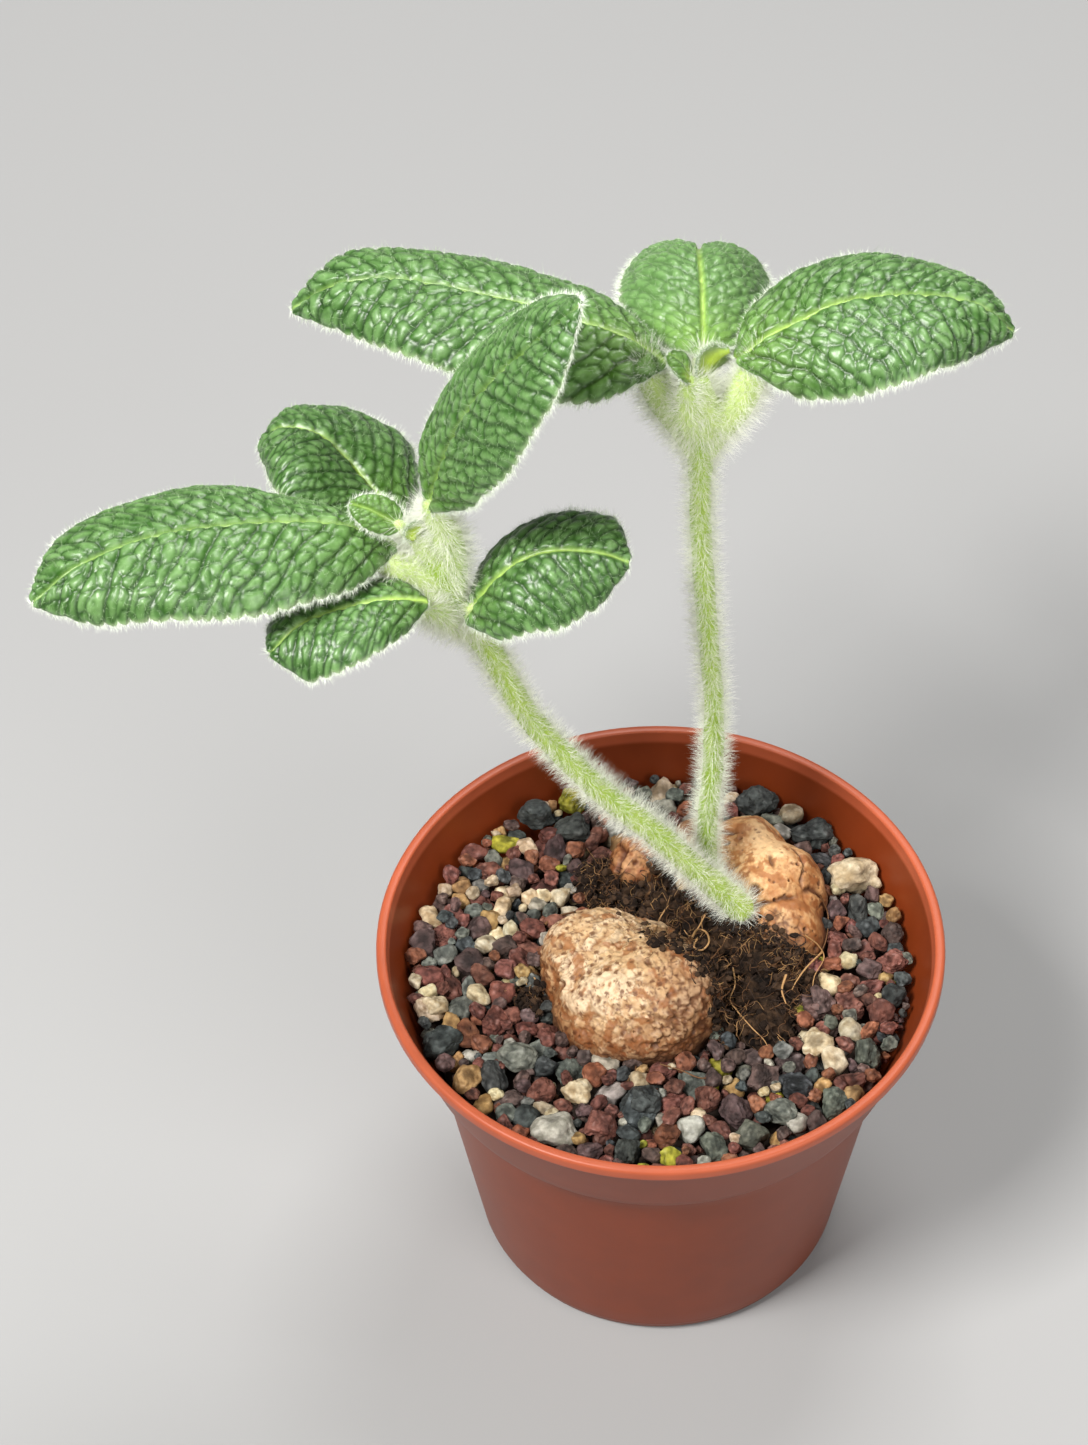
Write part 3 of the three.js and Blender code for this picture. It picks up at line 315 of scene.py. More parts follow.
# ------------------------------------------------------------------ leaves
RAILS = {
    'leaf_r_west': dict(
        m=[[1.1,18.1,197.3],[-5.4,21.6,200.3],[-13.0,25.5,200.2],[-20.7,29.2,200.1],[-28.7,32.4,199.6],[-36.7,34.7,199.7],[-44.8,36.1,199.8],[-53.0,36.6,197.8],[-60.4,36.7,192.0]],
        a=[[1.1,18.1,197.3],[-2.8,28.6,194.8],[-8.4,36.6,194.0],[-16.0,41.8,193.3],[-24.3,45.8,193.3],[-33.4,48.0,193.7],[-42.8,48.2,194.5],[-52.0,45.7,195.1],[-60.4,36.7,192.0]],
        b=[[1.1,18.1,197.3],[-9.0,14.4,194.4],[-17.3,14.3,193.9],[-24.9,16.1,194.5],[-31.6,18.6,195.4],[-37.9,21.2,196.1],[-44.1,24.6,195.9],[-50.8,29.5,194.2],[-60.4,36.7,192.0]]),
    'leaf_r_north': dict(
        m=[[6.3,24.4,192.3],[6.5,30.7,191.0],[6.6,37.1,190.6],[6.6,43.2,190.6],[6.4,48.8,190.2],[6.3,53.6,188.6],[6.5,57.7,185.7],[6.6,61.1,181.6],[6.7,64.1,175.8]],
        a=[[6.3,24.4,192.3],[-1.5,30.3,190.4],[-5.2,36.5,189.7],[-6.6,42.2,189.0],[-6.6,46.9,187.2],[-6.2,51.1,185.0],[-5.3,55.7,182.8],[-2.6,61.0,180.8],[6.7,64.1,175.8]],
        b=[[6.3,24.4,192.3],[13.2,31.4,188.3],[16.2,38.3,185.9],[17.5,43.8,184.4],[18.0,47.9,183.6],[18.2,51.3,182.9],[17.7,55.3,182.0],[15.7,60.3,180.5],[6.7,64.1,175.8]]),
    'leaf_r_east': dict(
        m=[[11.3,18.3,197.8],[15.8,19.5,202.1],[21.3,21.1,204.2],[26.8,22.5,206.4],[32.7,23.3,207.1],[38.8,23.6,207.1],[44.8,23.3,206.8],[50.7,22.5,205.0],[55.4,21.5,200.3]],
        a=[[11.3,18.3,197.8],[13.9,28.6,199.2],[18.9,34.5,200.1],[25.1,37.5,201.2],[31.8,38.8,201.8],[38.5,38.1,201.1],[44.8,35.5,200.4],[50.7,31.0,200.8],[55.4,21.5,200.3]],
        b=[[11.3,18.3,197.8],[19.8,12.2,196.8],[25.1,10.0,198.5],[29.9,9.0,200.2],[34.1,8.7,201.8],[38.2,9.2,203.0],[42.4,11.1,203.4],[47.3,14.7,201.7],[55.4,21.5,200.3]]),
    'leaf_r_bud_a': dict(
        m=[[3.8,15.2,196.1],[3.7,15.5,196.8],[3.4,15.9,197.5],[3.1,16.2,198.1],[2.7,16.6,198.6],[2.2,16.9,199.2],[1.7,17.2,199.6],[1.1,17.4,199.9],[0.4,17.6,200.1]],
        a=[[3.8,15.2,196.1],[3.9,17.1,196.1],[3.9,18.2,196.3],[3.9,19.0,196.8],[3.7,19.6,197.5],[3.2,20.0,198.1],[2.3,19.9,198.5],[1.4,19.3,199.1],[0.4,17.6,200.1]],
        b=[[3.8,15.2,196.1],[3.3,14.0,197.5],[2.7,13.5,198.5],[2.2,13.5,199.2],[1.8,13.6,199.8],[1.3,13.9,200.2],[0.9,14.4,200.5],[0.5,15.4,200.3],[0.4,17.6,200.1]]),
    'leaf_r_bud_b': dict(
        m=[[5.8,17.0,194.1],[6.2,17.4,194.9],[6.6,17.8,195.6],[7.1,18.2,196.2],[7.7,18.5,196.9],[8.4,18.8,197.5],[9.1,19.0,198.1],[9.8,19.0,198.7],[10.7,19.1,199.3]],
        a=[[5.8,17.0,194.1],[5.6,15.9,195.9],[5.4,15.9,197.5],[5.4,16.4,198.7],[5.6,17.0,199.6],[6.3,17.6,200.4],[7.3,18.1,200.8],[8.5,18.7,200.7],[10.7,19.1,199.3]],
        b=[[5.8,17.0,194.1],[7.1,18.6,193.7],[7.9,19.5,193.6],[8.6,20.1,193.9],[9.3,20.3,194.3],[10.1,20.5,194.9],[10.8,20.4,195.8],[11.3,19.9,197.2],[10.7,19.1,199.3]]),
    'leaf_l_north': dict(
        m=[[-37.6,4.5,178.6],[-36.1,4.5,185.9],[-34.0,4.7,192.7],[-31.5,4.9,199.1],[-28.4,4.9,205.0],[-24.7,4.7,210.3],[-20.7,4.3,215.3],[-16.9,3.7,220.4],[-13.0,3.3,225.3]],
        a=[[-37.6,4.5,178.6],[-38.5,12.8,186.5],[-35.6,16.5,192.3],[-31.4,18.3,198.3],[-27.0,18.7,204.1],[-22.7,18.0,209.6],[-18.3,15.9,214.6],[-14.0,11.0,219.4],[-13.0,3.3,225.3]],
        b=[[-37.6,4.5,178.6],[-31.5,-1.3,185.4],[-28.5,-4.4,192.1],[-25.8,-6.2,197.5],[-23.3,-6.8,202.6],[-20.9,-6.7,207.7],[-17.8,-5.9,212.7],[-15.5,-3.6,217.7],[-13.0,3.3,225.3]]),
    'leaf_l_back': dict(
        m=[[-42.3,18.6,161.4],[-45.1,21.3,162.7],[-47.8,24.2,163.7],[-50.3,26.9,165.3],[-53.0,29.1,167.1],[-55.9,31.0,169.0],[-59.6,32.4,169.4],[-63.3,33.1,168.7],[-66.7,33.4,164.4]],
        a=[[-42.3,18.6,161.4],[-40.4,26.9,159.5],[-40.4,33.7,159.9],[-42.3,38.8,161.3],[-46.9,42.0,161.9],[-51.7,43.7,162.3],[-56.5,43.7,162.7],[-61.1,41.4,164.3],[-66.7,33.4,164.4]],
        b=[[-42.3,18.6,161.4],[-52.1,17.7,163.1],[-55.4,17.3,164.3],[-58.0,17.4,165.9],[-59.9,17.8,167.6],[-61.6,18.5,168.4],[-63.0,20.4,168.1],[-64.4,24.4,166.0],[-66.7,33.4,164.4]]),
    'leaf_l_west': dict(
        m=[[-42.1,6.1,169.1],[-49.3,4.9,174.8],[-56.9,3.7,177.5],[-64.7,2.3,178.8],[-72.4,0.4,179.9],[-80.0,-1.7,180.5],[-87.3,-4.4,180.0],[-94.3,-7.4,178.1],[-100.3,-10.1,173.3]],
        a=[[-42.1,6.1,169.1],[-52.2,12.0,169.5],[-60.7,14.5,170.3],[-68.8,15.4,172.3],[-76.7,14.3,173.8],[-84.5,11.4,174.6],[-91.7,7.3,175.2],[-97.9,0.9,175.4],[-100.3,-10.1,173.3]],
        b=[[-42.1,6.1,169.1],[-49.0,-3.5,170.3],[-55.7,-8.6,172.8],[-62.2,-11.9,173.9],[-68.8,-13.6,174.8],[-75.4,-14.4,175.2],[-82.4,-14.5,174.6],[-90.0,-13.8,172.9],[-100.3,-10.1,173.3]]),
    'leaf_l_low_west': dict(
        m=[[-37.6,-2.3,164.8],[-41.0,-3.1,166.4],[-44.5,-3.8,167.1],[-48.0,-4.6,167.1],[-51.4,-5.7,167.1],[-54.8,-6.9,166.9],[-57.9,-8.3,166.5],[-60.5,-10.0,165.3],[-63.0,-11.5,162.7]],
        a=[[-37.6,-2.3,164.8],[-42.2,2.5,164.8],[-46.3,4.1,163.5],[-50.2,3.8,162.1],[-54.0,3.0,161.4],[-57.6,1.6,161.3],[-60.9,-0.6,161.6],[-63.3,-4.6,162.0],[-63.0,-11.5,162.7]],
        b=[[-37.6,-2.3,164.8],[-41.0,-8.2,164.8],[-43.5,-11.6,165.8],[-46.0,-13.9,166.0],[-48.6,-15.4,165.6],[-51.4,-16.2,164.6],[-54.3,-16.4,163.2],[-57.6,-15.7,161.7],[-63.0,-11.5,162.7]]),
    'leaf_l_low_east': dict(
        m=[[-32.4,1.8,155.5],[-30.2,2.6,159.8],[-27.6,3.5,163.2],[-24.5,4.4,166.1],[-20.9,4.9,168.1],[-17.0,4.9,169.1],[-13.0,4.6,169.3],[-9.1,4.0,169.0],[-5.3,3.7,167.2]],
        a=[[-32.4,1.8,155.5],[-30.2,8.5,158.0],[-27.9,12.5,160.4],[-24.4,14.7,162.7],[-20.3,15.9,164.9],[-15.8,16.0,166.5],[-11.2,14.8,167.6],[-7.1,11.5,168.4],[-5.3,3.7,167.2]],
        b=[[-32.4,1.8,155.5],[-27.1,-2.9,156.7],[-23.9,-4.5,159.3],[-21.0,-4.9,161.2],[-18.1,-5.1,161.6],[-15.4,-4.2,162.0],[-12.7,-2.6,162.6],[-9.9,-1.0,163.3],[-5.3,3.7,167.2]]),
    'leaf_l_bud_a': dict(
        m=[[-41.8,5.2,174.0],[-42.8,5.3,174.9],[-43.9,5.5,175.8],[-44.9,5.6,176.5],[-46.0,5.8,177.2],[-47.0,5.9,177.8],[-48.1,6.1,178.2],[-49.2,6.3,178.5],[-50.2,6.4,178.8]],
        a=[[-41.8,5.2,174.0],[-41.8,6.9,175.8],[-42.5,7.6,177.0],[-43.4,8.0,177.8],[-44.5,8.1,178.5],[-45.7,8.1,178.9],[-47.0,7.9,179.2],[-48.4,7.5,179.2],[-50.2,6.4,178.8]],
        b=[[-41.8,5.2,174.0],[-43.8,3.8,174.1],[-45.2,3.4,174.6],[-46.4,3.3,175.3],[-47.5,3.4,175.9],[-48.4,3.8,176.6],[-49.2,4.3,177.2],[-49.9,5.1,177.9],[-50.2,6.4,178.8]]),
    'leaf_l_bud_b': dict(
        m=[[-40.4,4.2,172.2],[-40.3,4.4,172.7],[-40.1,4.7,173.2],[-39.9,4.9,173.6],[-39.6,5.1,174.0],[-39.2,5.2,174.4],[-38.8,5.4,174.6],[-38.4,5.5,174.9],[-37.9,5.6,175.2]],
        a=[[-40.4,4.2,172.2],[-41.4,3.9,173.1],[-41.5,3.8,174.0],[-41.5,4.1,175.0],[-41.0,4.2,175.7],[-40.3,4.4,176.2],[-39.6,4.7,176.5],[-38.9,5.0,176.2],[-37.9,5.6,175.2]],
        b=[[-40.4,4.2,172.2],[-39.3,5.0,172.1],[-39.0,5.5,172.0],[-38.7,5.8,172.1],[-38.4,6.0,172.3],[-38.1,6.1,172.6],[-37.8,6.2,173.0],[-37.8,6.0,173.7],[-37.9,5.6,175.2]]),
}
# name: (rows along, rows across, yellowness near the base, hairs per mm2)
LEAF_RES = {
    'leaf_r_west': (214, 100), 'leaf_r_north': (140, 84), 'leaf_r_east': (182, 102), 'leaf_l_north': (180, 86),
    'leaf_l_back': (130, 86), 'leaf_l_west': (214, 100), 'leaf_l_low_west': (112, 68), 'leaf_l_low_east': (130, 74),
    'leaf_r_bud_a': (40, 28), 'leaf_r_bud_b': (40, 28), 'leaf_l_bud_a': (60, 40), 'leaf_l_bud_b': (36, 24),
}
YOUNG = {'leaf_r_bud_a', 'leaf_r_bud_b', 'leaf_l_bud_a', 'leaf_l_bud_b'}
# dark green of the painted shade in the vein grooves
G_GROOVE_SHADE = np.array([0.007, 0.032, 0.003])
G_MID = np.array([0.034, 0.118, 0.011])
# pale green, also the painted highlight on the cell tops
G_PALE_HIGHLIGHT = np.array([0.175, 0.330, 0.110])
G_LIME = np.array([0.28, 0.50, 0.03])
G_RIB = np.array([0.46, 0.66, 0.14])
G_UNDER = np.array([0.22, 0.34, 0.14])
RIB = {'leaf_r_west': 0.62, 'leaf_r_north': 1.0, 'leaf_r_east': 0.85, 'leaf_l_north': 0.50, 'leaf_l_back': 1.0,
       'leaf_l_west': 0.50, 'leaf_l_low_west': 1.0, 'leaf_l_low_east': 0.90}

leaf_mat = painted("leaf_green", rough=0.36, grain=0.08, grain_scale=1600, bump=0.35, bump_scale=1500,
                   bump_dist=0.00008, sheen=0.05, sheen_rough=0.45, spec=0.55)
hair_mat, _, _ = material("leaf_hair_white", base=(0.82, 0.87, 0.76), rough=0.5, spec=0.5)
down_mat, _, _ = material("leaf_down", base=(0.44, 0.60, 0.34), rough=0.5, spec=0.5)
stem_hair_mat, _, _ = material("stem_hair_white", base=(0.93, 0.94, 0.85), rough=0.45, spec=0.5)


def build_leaf(name, rails):
    nu, nv = LEAF_RES[name]
    young = name in YOUNG
    nu += nu % 2
    nv += nv % 2
    u = np.linspace(0, 1, nu + 1)
    u = 0.008 + 0.984 * (u - np.sin(2 * np.pi * u) * 0.045)
    v = np.linspace(-1, 1, nv + 1)
    v = np.sign(v) * (1 - (1 - np.abs(v)) ** 1.15)
    M, A, B = (curve(rails[k], u) for k in 'mab')
    if name == 'leaf_r_bud_b':        # clear of the leaf beside it
        M, A, B = (q + np.array([-0.35, 0.25, 0.5]) for q in (M, A, B))
    step = np.linalg.norm(np.diff(M, axis=0), axis=1)
    s = np.concatenate([[0], np.cumsum(step)])
    L = s[-1]
    wa, wb = np.linalg.norm(A - M, axis=1), np.linalg.norm(B - M, axis=1)
    T = unit(np.gradient(M, axis=0))
    N = unit(np.cross(T, B - A))
    if N[nu // 2, 2] < 0:
        N = -N
    seed = sum(ord(c) for c in name)
    # grid coordinates
    t = np.abs(v)[None, :] * np.ones((nu + 1, 1))
    left = (v < 0)[None, :]
    w = np.where(left, wa[:, None], wb[:, None])
    sg = np.where(left, -1.0, 1.0)
    S = s[:, None] * np.ones((1, nv + 1))
    D = t * w
    # crenate margin: small regular rounded teeth, a little uneven
    sgn = sg * np.ones_like(S)

    def field(fu, fw, seed_, octv, off=0.0):
        return fbm(np.stack([S.ravel() * fu, (D * sgn).ravel() * fw + off, np.full(S.size, seed * 0.37)], 1), seed_, octv).reshape(S.shape)

    per = 2.9 if not young else 1.2
    ph = S / per + 0.55 * vnoise(np.stack([S.ravel() * 0.22, sgn.ravel(), np.full(S.size, seed * 0.1)], 1), 3).reshape(S.shape)
    teeth = np.sqrt(np.abs(np.sin(np.pi * ph)))
    edge = smooth(0.86, 1.0, t)
    grow = 1 + edge * (teeth - 0.72) * (0.95 if not young else 0.25) / np.maximum(w, 3.0)
    E = np.where(left[..., None], A[:, None, :], B[:, None, :])
    P = M[:, None, :] + (E - M[:, None, :]) * (t * grow)[..., None]
    arch = 0.13 * w * np.sin(np.pi * t) - 0.05 * w * smooth(0.82, 1.0, t)
    P = P + N[:, None, :] * arch[..., None]
    # slow waves of the blade
    wav = field(0.07, 0.07, 21, 2)
    P = P + N[:, None, :] * (wav * 0.9 * smooth(0.05, 0.4, t) * min(1.0, L / 40))[..., None]
    # side veins sweep forward from the midrib; cells lie between them
    sp = 5.3 * (L / 60) ** 0.4 if not young else 2.2 * (L / 10) ** 0.5
    q = (S - 0.62 * D - 0.020 * D * D) / sp + 0.30 * field(0.16, 0.16, 31, 2) + np.where(left, 0.0, 0.47)
    fq = q - np.floor(q)
    dv = np.minimum(fq, 1 - fq) * sp * 0.80         # distance to the nearest side vein
    cell = sp / 2.0
    warp, warp2 = 0.26 * field(0.45, 0.45, 41, 2), 0.42 * field(0.40, 0.40, 47, 2, 9.0)
    x = (q * 2.0 + warp).ravel()
    y = (D / cell * 0.84 + S * 0.46 / cell + warp2 + np.where(left, 57.0, 13.0)).ravel()
    f1, f2, cid = worley2(x, y, seed, 0.85)
    db = (f2 - f1).reshape(S.shape) * cell * 0.5      # distance to the nearest small vein
    f1 = f1.reshape(S.shape)
    g1, g2, gid = worley2(x * 2.1, y * 2.1, seed + 4, 0.95)
    db2 = (g2 - g1).reshape(S.shape) * cell * 0.24
    cid, gid = cid.reshape(S.shape), gid.reshape(S.shape)
    small_ = 1.0 if not young else 0.5
    dome = 1 - np.exp(-(db / (0.25 * small_)) ** 1.2)
    convex = np.clip(1 - (f1 / 0.75) ** 2, 0, 1)
    small = 1 - np.exp(-db2 / 0.14)
    vein = 1 - np.exp(-(dv / (0.40 * small_)) ** 1.3)
    rib = smooth(0.06, 0.85 if not young else 0.6, D)
    k = min(1.0, L / 42) if not young else 0.42
    fade = smooth(0.0, 0.10, u)[:, None] * smooth(0.0, 0.05, 1 - u)[:, None]
    fine = field(1.1, 1.1, 61, 3)
    bump = (0.30 * (0.75 + 0.5 * cid) * dome + 0.16 * convex + 0.42 * vein + 0.08 * small * (0.6 + 0.8 * gid) + 0.10 * fine) * rib + 0.24 * rib
    h = (bump - 1.0) * k * (1 - 0.60 * smooth(0.80, 1.0, t)) * (0.35 + 0.65 * fade) + edge * (teeth - 0.7) * 0.35 * k
    # surfaces; thickness falls to nothing at the margin
    body = (0.55 if not young else 0.40) * np.sqrt(np.clip(1 - t ** 6, 0, 1)) * smooth(0.0, 0.02, u)[:, None] * smooth(0.0, 0.02, 1 - u)[:, None]
    close = np.clip(1 - t ** 10, 0, 1)
    du = np.gradient(P, axis=0)
    dvv = np.gradient(P, axis=1)
    NN = unit(np.cross(du, dvv))
    if (NN[nu // 2, nv // 2] @ N[nu // 2]) < 0:
        NN = -NN
    top = P + NN * (body + h * (0.25 + 0.75 * close))[..., None]
    bot = P + NN * (-body + h * (0.25 + 0.45 * close))[..., None]
    # rim shared by both: the outermost lines
    bot[:, 0], bot[:, -1], bot[0], bot[-1] = top[:, 0], top[:, -1], top[0], top[-1]
    bb = bot[::2, ::2]
    tb, bbn = top.reshape(-1, 3), bb.reshape(-1, 3)
    nV = nv + 1
    I, J = np.meshgrid(np.arange(nu), np.arange(nv), indexing='ij')
    a = (I * nV + J).ravel()
    tq = np.stack([a, a + nV, a + nV + 1, a + 1], 1)
    nVb = nv // 2 + 1
    I2, J2 = np.meshgrid(np.arange(nu // 2), np.arange(nv // 2), indexing='ij')
    b_ = (I2 * nVb + J2).ravel() + len(tb)
    bq = np.stack([b_, b_ + 1, b_ + nVb + 1, b_ + nVb], 1)
    nrm_top = np.cross(top[1, nv // 2] - top[0, nv // 2], top[1, nv // 2 + 1] - top[1, nv // 2])
    verts = np.vstack([tb, bbn])
    # which way the first block faces
    fc = tq[len(tq) // 2]
    fn = np.cross(verts[fc[1]] - verts[fc[0]], verts[fc[2]] - verts[fc[1]])
    if fn @ NN[nu // 2, nv // 2] < 0:
        tq, bq = tq[:, ::-1], bq[:, ::-1]
    # colour: painted highlight on the cell tops, painted shade in the vein grooves
    # painted shade: darker in the vein grooves around each cell and along the side veins
    painted_groove_shade = np.maximum((0.45 + 0.40 * cid) * np.exp(-(db / (0.22 * small_)) ** 1.4), np.exp(-(dv / (0.32 * small_)) ** 1.6)) * rib
    painted_groove_shade = np.maximum(painted_groove_shade, 0.20 * np.exp(-(db2 / 0.12)) * rib)
    # painted highlight: domed, convex cell tops lighter, as if lit
    painted_cell_highlight = 0.33 + 0.34 * (dome * (0.6 + 0.8 * cid) - 0.6) + 0.50 * (convex - 0.45) * dome + 0.55 * fine + 0.16 * (gid - 0.5)
    c = mix(G_MID, G_PALE_HIGHLIGHT, np.clip(painted_cell_highlight, 0, 1))
    c = mix(c, G_GROOVE_SHADE, painted_groove_shade * 0.93)
    lime = {'leaf_r_north': 0.95, 'leaf_r_east': 0.30, 'leaf_r_west': 0.30, 'leaf_l_back': 0.25}.get(name, 0.15)
    near = np.exp(-(S / (0.22 * L)) ** 2) * (1 - 0.6 * t)
    c = mix(c, G_LIME * 0.85, np.clip(near * lime * (0.5 + 0.5 * dome), 0, 1))
    if name == 'leaf_r_north':
        c = mix(c, G_PALE_HIGHLIGHT * 1.15, np.full(S.shape, 0.30))
    if young:
        c = mix(c, G_LIME * 0.55 + G_PALE_HIGHLIGHT * 0.35, np.full(S.shape, 0.22 if name == 'leaf_l_bud_a' else 0.26))
        if name.startswith('leaf_r_bud'):
            c = mix(c, np.array([0.40, 0.54, 0.02]), (0.60 * smooth(0.55, 0.15, u)[:, None] * smooth(0.98, 0.55, t)))
    ribw = 0.36 * (1 - 0.50 * u)[:, None] + 0.10
    c = mix(c, G_RIB, np.clip(np.exp(-(D / ribw) ** 2) * RIB.get(name, 0.5) * (1 - 0.35 * u[:, None]), 0, 1))
    c = mix(c, np.array([0.50, 0.60, 0.36]), 0.45 * smooth(0.94, 1.0, t))
    cb = mix(G_UNDER, G_UNDER * 0.7, np.clip((1 - dome) * 0.3 + 0.3 * fine, 0, 1))
    cb = mix(cb, G_RIB * 0.85, np.clip(np.exp(-(D / (ribw * 2.2)) ** 2) + 0.45 * (1 - vein) * rib, 0, 1) * 0.7)
    if name.startswith('leaf_r_bud') or name == 'leaf_l_bud_b':
        cb = mix(cb, np.array([0.42, 0.56, 0.02]), np.full(S.shape, 0.75) * smooth(1.0, 0.4, t * 0.6 + u[:, None] * 0.6))
    col = np.vstack([c.reshape(-1, 3), cb[::2, ::2].reshape(-1, 3)])
    # own map: upper side above, under side below
    uu, vv = np.meshgrid(np.linspace(0, 1, nu + 1), np.linspace(0, 1, nv + 1), indexing='ij')
    U = np.concatenate([np.stack([0.01 + 0.98 * uu.ravel(), 0.35 + 0.64 * vv.ravel()], 1),
                        np.stack([0.01 + 0.98 * uu[::2, ::2].ravel(), 0.01 + 0.32 * vv[::2, ::2].ravel()], 1)])
    uv = U[np.concatenate([tq.ravel(), bq.ravel()])]
    o = make(name + "_blade", verts, [tq, bq], col=col, uv=uv, mat=leaf_mat, nodes=(name,))
    # hairs: margin fringe and surface down
    def area(G):
        e = np.linalg.norm(np.cross(G[1:, :-1] - G[:-1, :-1], G[:-1, 1:] - G[:-1, :-1]), axis=2)
        return e
    R, Dr, Ln, Rd = [], [], [], []
    ar = area(top)
    dens = 3.6 if not young else 7.0
    tn = unit(np.cross(np.gradient(top, axis=0), np.gradient(top, axis=1)))
    if (tn[nu // 2, nv // 2] @ NN[nu // 2, nv // 2]) < 0:
        tn = -tn
    def scatter(G, Nn, count, down=1.0, len_lo=0.7, len_hi=2.0, wid=0.040, seg=2):
        p = area(G).ravel()
        idx = RNG.choice(len(p), size=count, p=p / p.sum())
        i, j = np.unravel_index(idx, (G.shape[0] - 1, G.shape[1] - 1))
        a, b = RNG.random(count)[:, None], RNG.random(count)[:, None]
        pos = G[i, j] * (1 - a) * (1 - b) + G[i + 1, j] * a * (1 - b) + G[i, j + 1] * (1 - a) * b + G[i + 1, j + 1] * a * b
        nr = Nn[i, j] * down
        e = unit(G[i, -1] - G[i, 0]) * np.where(j < G.shape[1] // 2, -1, 1)[:, None]
        fwd = unit(G[np.minimum(i + 1, G.shape[0] - 1), j] - G[i, j])
        d = nr * 0.60 + e * RNG.uniform(-0.2, 0.9, count)[:, None] + fwd * RNG.uniform(-0.2, 0.7, count)[:, None] + RNG.normal(size=(count, 3)) * 0.35
        bend = -nr * RNG.uniform(0.0, 0.5, count)[:, None] + RNG.normal(size=(count, 3)) * 0.30
        sc = 1.0 if not young else 0.6
        return hairs(pos, d, RNG.uniform(len_lo, len_hi, count) * sc, wid * sc, bend=bend, segments=seg)
    parts = []
    tot = ar.sum()
    parts.append(scatter(top, tn, int(tot * (1.7 if not young else 3.0)), len_lo=0.6, len_hi=1.6, seg=1))
    parts.append(scatter(bot, tn, int(tot * 1.1), down=-1.0, seg=1))
    # margin
    loop = np.concatenate([top[:, 0], top[-1, 1:], top[-2::-1, -1], top[0, -2:0:-1]])
    mid = np.concatenate([M, np.repeat(M[-1:], nv, 0), M[-2::-1], np.repeat(M[:1], nv - 1, 0)])
    ln = np.concatenate([NN[:, 0], NN[-1, 1:], NN[-2::-1, -1], NN[0, -2:0:-1]])
    seg = np.linalg.norm(np.roll(loop, -1, 0) - loop, axis=1)
    cum = np.concatenate([[0], np.cumsum(seg)])
    count = int(cum[-1] * (26 if not young else 34))
    at = RNG.random(count) * cum[-1]
    i = np.clip(np.searchsorted(cum, at) - 1, 0, len(loop) - 1)
    f = ((at - cum[i]) / np.maximum(seg[i], 1e-6))[:, None]
    pos = loop[i] * (1 - f) + loop[(i + 1) % len(loop)] * f
    out = unit(pos - mid[i])
    nr = ln[i]
    d = out + nr * RNG.uniform(-0.6, 0.9, count)[:, None] + RNG.normal(size=(count, 3)) * 0.35
    pos = pos - out * RNG.uniform(0.0, 0.5, count)[:, None] + nr * RNG.uniform(-0.15, 0.25, count)[:, None]
    parts.append(hairs(pos, d, RNG.uniform(0.7, 1.8, count) * (1 if not young else 0.85), 0.085))
    V, F, off = [], [], 0
    for a_, b2 in parts[:2]:
        V.append(a_)
        F.append(b2 + off)
        off += len(a_)
    make(name + "_down", np.vstack(V), np.vstack(F), mat=down_mat, nodes=(name,))
    make(name + "_fringe", parts[2][0], parts[2][1], mat=hair_mat, nodes=(name,))
    return o


for _name, _r in RAILS.items():
    build_leaf(_name, _r)


# ------------------------------------------------------------------ stems
def radius_at(radii, t):
    return np.interp(t, np.linspace(0, 1, len(radii)), radii)


def tube(pts, radii, around=18, step=0.9, ridges=0.0, cap=(True, True), flat=1.0):
    n = max(8, int(np.linalg.norm(np.diff(np.asarray(pts), axis=0), axis=1).sum() / step))
    t = np.linspace(0, 1, n + 1)
    C = curve(pts, t)
    T = unit(np.gradient(C, axis=0))
    up = np.array([0.0, 1.0, 0.0])
    X, Y = [], []
    for d in T:
        x = np.cross(up, d)
        x /= np.linalg.norm(x)
        y = np.cross(d, x)
        up = y
        X.append(x)
        Y.append(y)
    X, Y = np.array(X), np.array(Y)
    r = radius_at(radii, t)
    # rounded ends
    for end, on in ((0, cap[0]), (n, cap[1])):
        if on:
            arc = np.linalg.norm(C - C[end], axis=1)
            q = np.clip(1 - arc / np.maximum(r[end], 1e-6), 0, 1)
            r = r * np.sqrt(np.clip(1 - q ** 2, 0.0004, 1))
    a = np.linspace(0, 2 * np.pi, around, endpoint=False)
    rr = r[:, None] * (1 + ridges * np.cos(a * 5 + 0.4)[None] + 0.02 * np.sin(7 * t * n * 0.1)[:, None])
    ring = C[:, None] + X[:, None] * (np.cos(a)[None] * rr)[..., None] + Y[:, None] * (np.sin(a)[None] * rr * flat)[..., None]
    nrm = X[:, None] * np.cos(a)[None, :, None] + Y[:, None] * np.sin(a)[None, :, None]
    V = ring.reshape(-1, 3)
    I, K = np.meshgrid(np.arange(n), np.arange(around), indexing='ij')
    k2 = (K + 1) % around
    q = np.stack([I * around + K, I * around + k2, (I + 1) * around + k2, (I + 1) * around + K], -1).reshape(-1, 4)
    return dict(V=V, Q=q, ring=ring, nrm=nrm, T=T, t=t, C=C, r=r, around=around, n=n, I=I, K=K)


